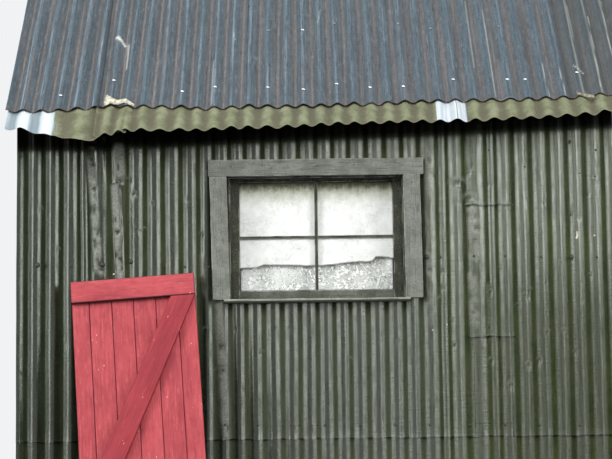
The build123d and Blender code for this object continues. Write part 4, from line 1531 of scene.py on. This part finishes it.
def torn(x):
    """The paper's torn foot, from the photograph."""
    us = [at_wall(px, TEAR_ROW, GLASS_REAR)[0] for px, _ in PAPER_TEAR]
    zs = [at_wall(TEAR_COLUMN, py, GLASS_REAR)[1] for _, py in PAPER_TEAR]
    return np.interp(x, us, zs) - PAPER_FOOT + 0.003 * rough_field(x / 0.012, 0 * x, 801)


def paper_folds(x, z):
    """How far the paper stands off the glass."""
    return -0.0012 + 0.0009 * rough_field(x / 0.05, z / 0.09, 811)


def net_folds(x, z):
    """The curtain's gathers."""
    phase = x * 62 + 2.0 * field(x / 0.1, z / 0.3, 821)
    return 0.005 + 0.0030 * np.sin(phase) + 0.001 * rough_field(x / 0.02, z / 0.1, 823)


def repaint(obj, material):
    """The one material of a piece that stays as in the frame."""
    obj.data.materials.clear()
    obj.data.materials.append(material)


hanging("paper", -SASH_IN, SASH_IN, PAPER_FOOT, GLASS_HIGH, GLASS_REAR - 0.0004, MAT_PAPER,
        ("window_paper",), torn, paper_folds)
net = hanging("net_curtain", -SASH_IN + 0.004, SASH_IN - 0.004, GLASS_LOW + 0.004, NET_HEAD,
              SASH_REAR - 0.008, MAT_LACE, ("lace_curtain",), folds=net_folds, step=0.005)
repaint(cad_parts["window_glass"], MAT_GLASS)

# Red leaf

LEAN, TURN = math.radians(10.7), math.radians(3.9)
PLANKS = (0.073, 0.095, 0.092, 0.094, 0.093, 0.077)
LEDGE = 0.094
LEDGE_FOOT = 0.290
BRACE = 0.104
LEAF_W = sum(PLANKS) + 0.005
LEAF_H = 1.350
LEAF_PLANK, LEAF_LEDGE = 0.020, 0.042  # from the planks' back to their face, and to the ledges' face
lean_up = np.array((0, math.sin(LEAN), math.cos(LEAN)))
leaf_x = np.array((math.cos(TURN), 0, 0)) + lean_up * math.sin(TURN)
leaf_z = np.array((-math.sin(TURN), 0, 0)) + lean_up * math.cos(TURN)
leaf_out = np.array((0, -math.cos(LEAN), math.sin(LEAN)))
reach = LEAF_W * math.sin(TURN) + LEAF_H * math.cos(TURN)
leaf_at = np.array((-0.9655, PLAN_Y - CREST - PLAY - reach * math.sin(LEAN), 0))


def on_leaf(co):
    """From the leaf's own across, out and up to the building."""
    return leaf_at + co[:, :1] * leaf_x + co[:, 1:2] * leaf_out + co[:, 2:3] * leaf_z


edge_x = 0.0
for k, wide in enumerate(PLANKS):
    board(f"leaf_plank_{k}", (edge_x, 0, 0), (edge_x + wide, LEAF_PLANK, LEAF_H), "z", MAT_RED, "red_paint",
          ("leaning_door_planks",) if k == 0 else (), on_leaf, bevel=0.0035, wear=0.0006)
    edge_x += wide + 0.001
board("leaf_ledge_top", (0, LEAF_PLANK, LEAF_H - LEDGE), (LEAF_W, LEAF_LEDGE, LEAF_H), "x", MAT_RED_LEDGE,
      "red_paint", ("leaning_door_ledges",), on_leaf)
board("leaf_ledge_low", (0, LEAF_PLANK, LEDGE_FOOT), (LEAF_W, LEAF_LEDGE, LEDGE_FOOT + LEDGE), "x",
      MAT_RED_LEDGE, "red_paint", (), on_leaf)
BRACE_FOOT, BRACE_HEAD = LEDGE_FOOT + LEDGE + PLAY, LEAF_H - LEDGE - PLAY


def brace_cut(co):
    """Shears an upright board into the brace, both ends level."""
    k = (co[:, 2] - BRACE_FOOT) / (BRACE_HEAD - BRACE_FOOT)
    out = co.copy()
    out[:, 0] += k * (LEAF_W - BRACE)
    return out


board("leaf_brace", (0, LEAF_PLANK, BRACE_FOOT), (BRACE, LEAF_LEDGE, BRACE_HEAD), "z", MAT_RED_BRACE,
      "red_paint", ("leaning_door_brace",), on_leaf, cut=brace_cut)

# Plank door in the right gable


def door_board(name, y0, y1, z0, z1, x0, x1, along="z", nodes=()):
    """A board of the doorway, by its distances from the middle of the gable."""
    return board(name, (x0, PLAN_Y + y0, z0), (x1, PLAN_Y + y1, z1), along, MAT_DOOR, "door_paint", nodes,
                 bevel=0.003)


POST = 0.045
DOOR_PLANK = 0.022
DOOR_LEDGE = 0.110
DOOR_LEDGES = (0.20, 0.92, 1.62)  # where each ledge starts
POST_OUT = HALF_WIDTH + PLAY + FLUTE + IRON + PLAY
DOOR_FACE = POST_OUT - 0.012
post_in = HALF_WIDTH - WALL
clear_y = DOOR_HALF - POST
door_board("door_post_a", -DOOR_HALF, -clear_y, 0, DOOR_HEAD, post_in, POST_OUT, nodes=("door_posts",))
door_board("door_post_b", clear_y, DOOR_HALF, 0, DOOR_HEAD, post_in, POST_OUT)
door_board("door_lintel", -clear_y, clear_y, DOOR_HEAD - POST, DOOR_HEAD, post_in, POST_OUT, "y",
           ("door_head",))
door_board("door_sill", -clear_y, clear_y, 0, POST, post_in, POST_OUT, "y", ("door_threshold",))
leaf_half = clear_y - 0.003
for k in range(6):
    y0 = -leaf_half + k * leaf_half / 3
    door_board(f"door_plank_{k}", y0 + 0.001, y0 + leaf_half / 3 - 0.001, POST + PLAY,
               DOOR_HEAD - POST - 0.003, DOOR_FACE - DOOR_PLANK, DOOR_FACE,
               nodes=("door_leaf",) if k == 0 else ())
for k, z in enumerate(DOOR_LEDGES):
    door_board(f"door_ledge_{k}", -leaf_half + 0.02, leaf_half - 0.02, z, z + DOOR_LEDGE, DOOR_FACE - 0.042,
               DOOR_FACE - DOOR_PLANK, "y")

# Nails


def domes(name, points, out, radius, high, material, stretch=1.0, turn=0.0, sides=10):
    """Low domed heads at points, facing out."""
    verts, faces = [], []
    out = np.array(out, float)
    a = np.cross(out, (1, 0, 0) if abs(out[0]) < 0.9 else (0, 1, 0))
    a /= np.linalg.norm(a)
    b = np.cross(out, a)
    for p in points:
        base = len(verts)
        for ring, (r, h) in enumerate(((1.0, 0.0), (0.92, 0.45), (0.6, 0.85))):
            for s in range(sides):
                t = 2 * math.pi * s / sides
                x, y = math.cos(t), math.sin(t) * stretch
                x, y = x * math.cos(turn) - y * math.sin(turn), x * math.sin(turn) + y * math.cos(turn)
                verts.append(p + radius * r * (a * x + b * y) + out * high * h)
        verts.append(p + out * high)
        for ring in range(2):
            for s in range(sides):
                n = (s + 1) % sides
                faces.append([base + ring * sides + s, base + ring * sides + n,
                              base + (ring + 1) * sides + n, base + (ring + 1) * sides + s])
        for s in range(sides):
            faces.append([base + 2 * sides + s, base + 2 * sides + (s + 1) % sides, base + 3 * sides])
        faces.append([base + s for s in range(sides)][::-1])
    return piece(name, np.array(verts), faces, material)


def crest_near(u, count):
    """The nearest crest line to u."""
    us = np.linspace(u - PITCH, u + PITCH, 201)
    c = count(us)
    k = round(float(np.interp(u, us, c)))
    return float(np.interp(k, c, us))


def front_height(u):
    """Height of the front's iron at u, without its dents."""
    d = 0.002
    density = (front_crests(u + d) - front_crests(u - d)) / (2 * d) * PITCH
    return wave_height(wave_at(front_crests(u)), density)


BIG_NAILS = ((427, 257), (572, 257), (131, 261.5), (37.5, 265), (102.5, 264.5))
SMALL_NAILS = (
    (70, 266), (163, 266), (185, 267), (209, 267), (441, 257), (474, 256), (505, 256), (541, 257),
    (597, 257), (169, 148), (133, 148), (489, 150), (570, 141), (596, 150), (225, 425), (258, 425),
    (291, 425), (325, 425), (360, 425), (395, 425), (430, 425), (470, 425), (505, 425), (540, 425),
    (580, 425),
)


def wall_points(pixels, sunk=0.0):
    """Points on the front's iron at pixels of the photograph."""
    points = []
    for x, y in pixels:
        u, z = at_wall(x, y)
        out = UPPER_OFF + 0.0016 + max(front_height(u) - sunk, 0) + IRON
        points.append(FRONT.place(np.array(u), np.array(z), np.array(out)))
    return points


HOLES = (
    (488, 185), (488, 190), (493, 185.5), (525, 166.5), (541, 185.5), (544, 203), (570, 141.5),
    (580, 173), (571, 214.5), (595, 176.5), (597, 187), (588, 194), (102.6, 259), (475, 170), (527, 153),
    (536, 232), (461, 187), (473, 204), (560, 226), (132, 260),
)
# Holes in the iron, as discs of painted shade.
domes("wall_holes", wall_points(HOLES, 0.0020), FRONT.out, 0.0034, 0.0012, MAT_HOLE_SHADE, 1.2,
      0.0, 8)

WALL_CHIPS = (
    (577, 232), (577.3, 235.5), (576.6, 238), (594.5, 235.5), (577, 233.8), (576.8, 237), (445, 240.5),
    (113.6, 274), (446.9, 324.6), (432.4, 330),
)
domes("wall_chips", wall_points(WALL_CHIPS), FRONT.out, 0.0040, 0.0008, MAT_LIP, 1.3, 0.3, 7)
domes("wall_nails_big", wall_points(BIG_NAILS), FRONT.out, 0.0112, 0.0080, MAT_NAIL_DARK)
domes("wall_nails", wall_points(SMALL_NAILS), FRONT.out, 0.0058, 0.0045, MAT_NAIL_DARK)

BOARD_HOLES = (
    (262, 166), (271, 168), (317, 165.5), (354, 164.6), (214, 180), (218, 286), (412, 182), (414, 288),
    (386, 166), (231, 167),
)
holes_at = [at_wall(x, y, BOARD_FRONT) for x, y in BOARD_HOLES]
board_points = [np.array((u, PLAN_Y - BOARD_FRONT, z)) for u, z in holes_at]
# Holes in the boards, as discs of painted shade.
domes("board_holes", board_points, FRONT.out, 0.0026, 0.0010, MAT_HOLE_SHADE, 1.0, 0.0, 8)

ROOF_NAILS = (
    (62, 96), (110, 81), (180, 92), (215, 87.5), (267, 88), (302, 90), (336, 84.5), (371, 88), (405, 87),
    (454, 80), (506, 80), (526, 80), (303, 30.5), (580, 73),
)
FAINT_ROOF_NAILS = ((268, 31), (336, 24), (398, 24), (430, 29), (490, 27))


def roof_points(pixels):
    """Points on the ridges of the roof nearest to pixels of the photograph."""
    points = []
    for x, y in pixels:
        u, s = at_roof(x, y)
        crest = crest_near(u, roof_crests)
        points.append(ROOF_FRONT.place(np.array(crest), np.array(s), np.array(0.0042 + FLUTE + IRON)))
    return points


domes("roof_nails_faint", roof_points(FAINT_ROOF_NAILS), ROOF_FRONT.out, 0.0036, 0.003, MAT_NAIL_GREY,
      1.7, -0.35)
domes("roof_nails", roof_points(ROOF_NAILS), ROOF_FRONT.out, 0.0048, 0.004, MAT_NAIL_PALE,
      1.7, -0.35)

# Carpentry and lining that stay as in the frame

TIMBER = (srgb(104, 84, 62), srgb(150, 126, 96), srgb(60, 44, 32))
MAT_FRAME_X = wood("timber_x", *TIMBER, axis=(0, 0, 0), knots=False)
MAT_RAFTER = wood("timber_slope", *TIMBER, axis=(0, math.radians(45), math.radians(-90)), knots=False)
MAT_LINING = wood("lining", srgb(112, 96, 74), srgb(158, 140, 112), srgb(66, 54, 42),
                  axis=(0, math.radians(90), 0), knots=False)
for node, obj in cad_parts.items():
    if "_wall" in node:
        repaint(obj, MAT_LINING)
    elif node.startswith("rafters"):
        repaint(obj, MAT_RAFTER)
    elif node not in ("window_glass", "ridge_cap"):
        repaint(obj, MAT_FRAME_X)

CAP_WIDE = 0.150  # each wing, down the slope
CAP_ROLL = 0.022
ROLL_FROM, ROLL_TO = math.radians(228), math.radians(-48)


def ridge_cap():
    """Folded cap with a roll, from one profile."""
    over = (PLAY + 0.0013 + FLUTE + IRON + PLAY) * math.sqrt(2)
    apex = DRIP_Z + DRIP_OUT + over
    reach = CAP_WIDE * HALF
    fold = IRON * math.sqrt(2)
    roll_z = apex + fold + CAP_ROLL * 0.6
    line = [(-reach, apex - reach + fold)]
    for a in np.linspace(ROLL_FROM, ROLL_TO, 13):
        line.append((CAP_ROLL * math.cos(a), roll_z + CAP_ROLL * math.sin(a)))
    line += [(reach, apex - reach + fold), (reach, apex - reach), (0, apex), (-reach, apex - reach)]
    xs = np.linspace(-HALF_ROOF, HALF_ROOF + VERGE, 61)
    verts, path = [], []
    n = len(line)
    for x in xs:
        for k, (y, z) in enumerate(line):
            w = 0.0015 * float(field(x / 0.1, k * 0.3, 901))
            verts.append((x, PLAN_Y + y, z + w * (1 if k in (0, n - 4, n - 3, n - 1) else 0.3)))
            path.append((x, y * 1.4, 0.6))
    faces = []
    for i in range(len(xs) - 1):
        for k in range(n):
            a, b = i * n + k, i * n + (k + 1) % n
            faces.append([a, b, b + n, a + n])
    faces.append(list(range(n))[::-1])
    faces.append(list(range((len(xs) - 1) * n, len(xs) * n)))
    info = np.tile((0.05, 0, 0.5), (len(verts), 1))
    obj = piece("ridge_roll", np.array(verts), faces, MAT_ROOF, ("ridge_cap",),
                attributes={"path": path, "info": info})
    smooth_by_angle(obj)


ridge_cap()

# Stage


def shows(tree):
    """1 for a ray from the camera, also through glass or by a reflection."""
    path = tree.nodes.new("ShaderNodeLightPath")
    seen = path.outputs["Is Camera Ray"]
    for ray in ("Is Transmission Ray", "Is Glossy Ray"):
        larger = tree.nodes.new("ShaderNodeMath")
        larger.operation = "MAXIMUM"
        tree.links.new(seen, larger.inputs[0])
        tree.links.new(path.outputs[ray], larger.inputs[1])
        seen = larger.outputs[0]
    return seen


FLOOR_HALF = 60


def add_stage():
    """A plain floor that is pale to the camera and takes the object's shadow."""
    mesh = bpy.data.meshes.new("floor")
    s = FLOOR_HALF
    mesh.from_pydata([(-s, -s, 0), (s, -s, 0), (s, s, 0), (-s, s, 0)], [], [(0, 1, 2, 3)])
    floor = bpy.data.objects.new("floor", mesh)
    scene.collection.objects.link(floor)
    m = Mat("floor")
    coord = m.object_point()
    pale = Value(m, shows(m.tree))
    soft = m.noise(coord, 1.5, 3)
    color = m.mix(pale, (0.09, 0.10, 0.08), m.mix(soft, (0.80, 0.80, 0.78), (0.84, 0.84, 0.82)))
    distance = m.node("ShaderNodeVectorMath", operation="LENGTH")
    m.link(coord, distance.inputs[0])
    far = m.ramp(Value(m, distance.outputs["Value"]), 4.0, 13.0) * pale
    m.out(m.mix(far, color, (0.0, 0.0, 0.0)), 0.9, specular=0.1)
    m.bsdf.inputs["Emission Color"].default_value = (0.86, 0.87, 0.87, 1)
    m.put(m.bsdf.inputs["Emission Strength"], far)
    mesh.materials.append(m.mat)


def softbox(name, at, aim, wide, high, watts):
    """An area lamp aimed at a point."""
    light = bpy.data.lights.new(name, "AREA")
    light.shape = "RECTANGLE"
    light.size, light.size_y = wide, high
    light.energy = watts
    obj = bpy.data.objects.new(name, light)
    obj.location = at
    obj.rotation_euler = (Vector(aim) - Vector(at)).to_track_quat("-Z", "Y").to_euler()
    scene.collection.objects.link(obj)


FACING, MIDDLE, RIDGE = (0, 0, 1.5), (0, PLAN_Y, 1.5), (0, 0.2, 2.6)
LAMPS = (  # name, place, aim, width, height, watts
    ("left", (-8.4, -4.2, 3.0), FACING, 3.0, 4.6, 400),
    ("right", (8.4, -4.2, 3.0), FACING, 3.0, 4.6, 400),
    ("high_left", (-7.0, -5.0, 6.4), FACING, 4.0, 3.0, 330),
    ("high_right", (7.0, -5.0, 6.4), FACING, 4.0, 3.0, 330),
    ("front", (0, -9.5, 6.8), FACING, 6.0, 3.4, 520),
    ("top", (-1.0, -2.6, 9.0), MIDDLE, 7.0, 4.0, 260),
    ("top_left", (-2.3, 1.6, 9.8), RIDGE, 1.4, 3.0, 32),
    ("rear", (-2, 9.5, 6.0), MIDDLE, 6.0, 4.0, 700),
)


def add_light():
    """Soft studio light, and a world that is pale where it shows and dim where it lights."""
    world = bpy.data.worlds.new("world")
    scene.world = world
    world.use_nodes = True
    tree = world.node_tree
    back = tree.nodes["Background"]
    mix = tree.nodes.new("ShaderNodeMix")
    mix.data_type = "RGBA"
    tree.links.new(shows(tree), mix.inputs["Factor"])
    mix.inputs[6].default_value = (0.07, 0.08, 0.08, 1)
    mix.inputs[7].default_value = (0.88, 0.89, 0.90, 1)
    tree.links.new(mix.outputs[2], back.inputs["Color"])
    back.inputs["Strength"].default_value = 1.0
    for lamp in LAMPS:
        softbox(*lamp)


add_stage()
add_light()
